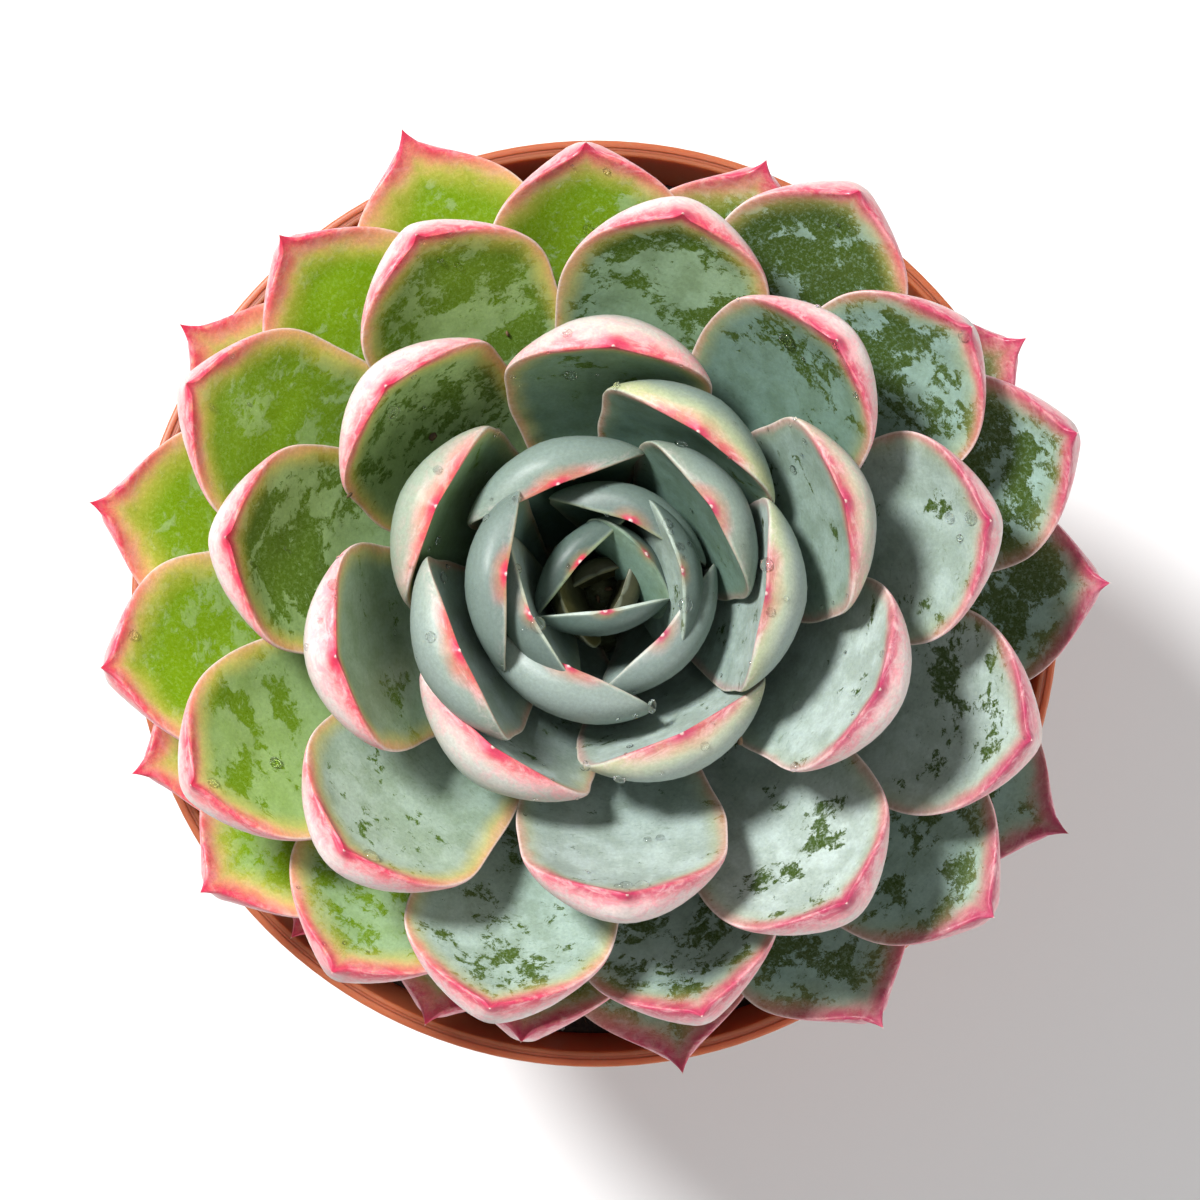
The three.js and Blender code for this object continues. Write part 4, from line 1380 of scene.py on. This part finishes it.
class SUCCULENT_OT_dew(bpy.types.Operator):
    """Set drops of water on the leaves, and the few dried flakes that lie between them."""

    bl_idname = "succulent.dew"
    bl_label = "Dew and flakes"

    def execute(self, context):
        given = context.scene.succulent_dew
        rng = np.random.default_rng(5)
        rows, columns = 72, 48
        skins = []
        for rank, bearing, reach in LEAF_TIPS:
            grids, values = leaf_grid(rank, bearing, reach, rows, columns, 0)
            edge, tip = (values["margin"][0, ..., i] for i in range(2))
            skins.append((rank, grids[0], edge, tip))
        every = np.concatenate([points.reshape(-1, 3) for _, points, _, _ in skins])
        owner = np.concatenate([np.full(points[..., 0].size, r) for r, points, _, _ in skins])

        places, normals, sizes = [], [], []
        largest, smallest = given.largest / MM, given.smallest / MM
        wet = [skin for skin in skins if WET_RANKS[0] <= skin[0] <= WET_RANKS[1]]
        tries_per_drop = 6
        for _ in range(given.drops * tries_per_drop):
            if len(places) == given.drops:
                break
            rank, points, edge, tip = wet[int(len(wet) * rng.random() ** 1.3)]
            row, column = rng.integers(30, rows - 4), rng.integers(0, columns)
            from_margin = edge[row, column]
            if from_margin < -4 or tip[row, column] > 26:
                continue  # too far under the leaf, or from its tip
            place = points[row, column]
            along = points[row + 1, column] - points[row - 1, column]
            around = points[row, (column + 1) % columns] - points[row, column - 1]
            normal = np.cross(around, along)
            normal /= np.linalg.norm(normal) + 1e-9
            if np.dot(normal, place - points[row].mean(0)) < 0:
                normal = -normal
            if normal[2] < 0.25 or (rank > 24 and from_margin < 0.6):
                continue  # too steep, or on an old leaf's very margin
            size = smallest + (largest - smallest) * rng.random() ** 3
            gap = np.sqrt(((every[owner != rank] - place) ** 2).sum(1).min())
            if gap < 1.6 * size + 0.5:
                continue  # another leaf is too close
            places.append(place)
            normals.append(normal)
            sizes.append(size)
        if places:
            finish_piece(
                closed_skins("dew_drops", drop_grids(places, normals, sizes)), "young_leaf",
                water_finish(),
            )

        found = []
        for spot in FLAKES:  # each on the highest leaf below it
            near = every[np.hypot(*(every[:, :2] - spot).T) < 0.9]
            found.append(near[near[:, 2].argmax()] if len(near) else (*spot, CROWN + 1))
        flakes = crumb_grids(
            np.array(found), rng.uniform(0.45, 1.0, len(found)), rng.uniform(0.25, 0.5, len(found)),
            rng, 6, 8,
        )
        finish_piece(closed_skins("dried_flakes", flakes), "soil", fibre_finish())
        return {"FINISHED"}


def drop_grids(places, normals, sizes):
    """Drops on a surface: balls flattened to 0.55 along the normal, their centres a fifth of
    the radius above it."""
    flatness, lift = 0.55, 0.2
    places, normals, sizes = np.array(places), np.array(normals), np.array(sizes)
    helper = np.where(np.abs(normals[:, :1]) < 0.8, [[1.0, 0, 0]], [[0, 1.0, 0]])
    first = np.cross(normals, helper)
    first /= np.linalg.norm(first, axis=1, keepdims=True)
    axes = np.stack([first, np.cross(normals, first), normals * flatness], 1)
    ball = np.einsum("rcj,kji->krci", ball_grid(9, 14), axes)
    centres = places + normals * sizes[:, None] * lift
    return centres[:, None, None, :] + ball * sizes[:, None, None, None]


class SUCCULENT_OT_stage(bpy.types.Operator):
    """Lay a pale floor, hang soft studio lights and set the camera."""

    bl_idname = "succulent.stage"
    bl_label = "Stage"

    def execute(self, context):
        given = context.scene.succulent_stage
        scene = context.scene
        size = FLOOR_REACH
        mesh = bpy.data.meshes.new("floor")
        mesh.from_pydata(
            [(-size, -size, 0), (size, -size, 0), (size, size, 0), (-size, size, 0)], [],
            [(0, 1, 2, 3)],
        )
        material, wiring, shader = new_material("Pale floor")
        grain = wiring.grain(wiring.in_mm(), 2.0)
        colour = wiring.mix(grain, opaque(given.floor, 0.985), opaque(given.floor))
        wiring.join(shader.inputs, Base_Color=colour)
        set_plain(shader, Roughness=0.9)
        mesh.materials.append(material)
        floor = bpy.data.objects.new("floor", mesh)
        scene.collection.objects.link(floor)

        world = bpy.data.worlds.new("Studio")
        world.use_nodes = True
        backdrop = world.node_tree.nodes["Background"].inputs
        backdrop["Color"].default_value = (0.98, 0.99, 1, 1)
        backdrop["Strength"].default_value = given.sky
        scene.world = world
        scene.view_settings.view_transform = "Standard"

        for name, place, width, power in (
            ("Key", KEY_PLACE, KEY_WIDTH, given.key_power),
            ("Fill", FILL_PLACE, FILL_WIDTH, given.fill_power),
        ):
            lamp = bpy.data.lights.new(name, "AREA")
            lamp.shape = "DISK"
            lamp.size = width
            lamp.energy = power
            light = bpy.data.objects.new(name, lamp)
            light.location = place
            aim = Vector(LAMPS_AIM) - Vector(place)
            light.rotation_euler = aim.to_track_quat("-Z", "Y").to_euler()
            scene.collection.objects.link(light)

        camera = bpy.data.objects.new("Camera", bpy.data.cameras.new("Camera"))
        place = Vector(CAMERA_PLACE)
        forward = (Vector(CAMERA_AIM) - place).normalized()
        right = forward.cross(Vector((0, 1, 0))).normalized()
        axes = Matrix((right, right.cross(forward), -forward)).transposed()
        camera.matrix_world = Matrix.Translation(place) @ axes.to_4x4()
        camera.data.sensor_width = 36
        camera.data.sensor_fit = "HORIZONTAL"
        camera.data.lens = CAMERA_LENS
        camera.data.clip_start = 0.02
        camera.data.clip_end = 20
        scene.collection.objects.link(camera)
        scene.camera = camera
        return {"FINISHED"}


class SUCCULENT_PT_panel(bpy.types.Panel):
    """Lists the settings and the pieces of the succulent."""

    bl_label = "Potted Succulent"
    bl_idname = "SUCCULENT_PT_panel"
    bl_space_type = "VIEW_3D"
    bl_region_type = "UI"
    bl_category = "Succulent"

    def draw(self, context):
        for title, holder, operators in (
            ("Leaves", "succulent_leaves", ("succulent.leaves", "succulent.stem")),
            ("Pot", "succulent_pot", ("succulent.pot",)),
            ("Soil", "succulent_soil", ("succulent.soil",)),
            ("Dew", "succulent_dew", ("succulent.dew",)),
            ("Stage", "succulent_stage", ("succulent.stage",)),
        ):
            box = self.layout.box()
            box.label(text=title)
            settings = getattr(context.scene, holder)
            for label in settings.bl_rna.properties.keys():
                if label not in {"rna_type", "name"}:
                    box.prop(settings, label)
            for operator in operators:
                box.operator(operator)


SETTINGS = {
    "succulent_leaves": SucculentLeafSettings,
    "succulent_pot": SucculentPotSettings,
    "succulent_soil": SucculentSoilSettings,
    "succulent_dew": SucculentDewSettings,
    "succulent_stage": SucculentStageSettings,
}
CLASSES = (
    *SETTINGS.values(),
    SUCCULENT_OT_leaves,
    SUCCULENT_OT_stem,
    SUCCULENT_OT_pot,
    SUCCULENT_OT_soil,
    SUCCULENT_OT_dew,
    SUCCULENT_OT_stage,
    SUCCULENT_PT_panel,
)


def register():
    """Registers the classes and hangs their settings on the scene."""
    for item in CLASSES:
        bpy.utils.register_class(item)
    for holder, item in SETTINGS.items():
        setattr(bpy.types.Scene, holder, PointerProperty(type=item))


def unregister():
    """Takes the settings and the classes away again."""
    for holder in SETTINGS:
        delattr(bpy.types.Scene, holder)
    for item in reversed(CLASSES):
        bpy.utils.unregister_class(item)


def main():
    """Makes every piece in order, then writes the CAD's box and the dressed model's."""
    register()
    bpy.ops.succulent.pot()
    bpy.ops.succulent.soil()
    bpy.ops.succulent.stem()
    bpy.ops.succulent.leaves()
    bpy.ops.succulent.dew()
    bpy.ops.succulent.stage()


if __name__ == "__main__":
    main()
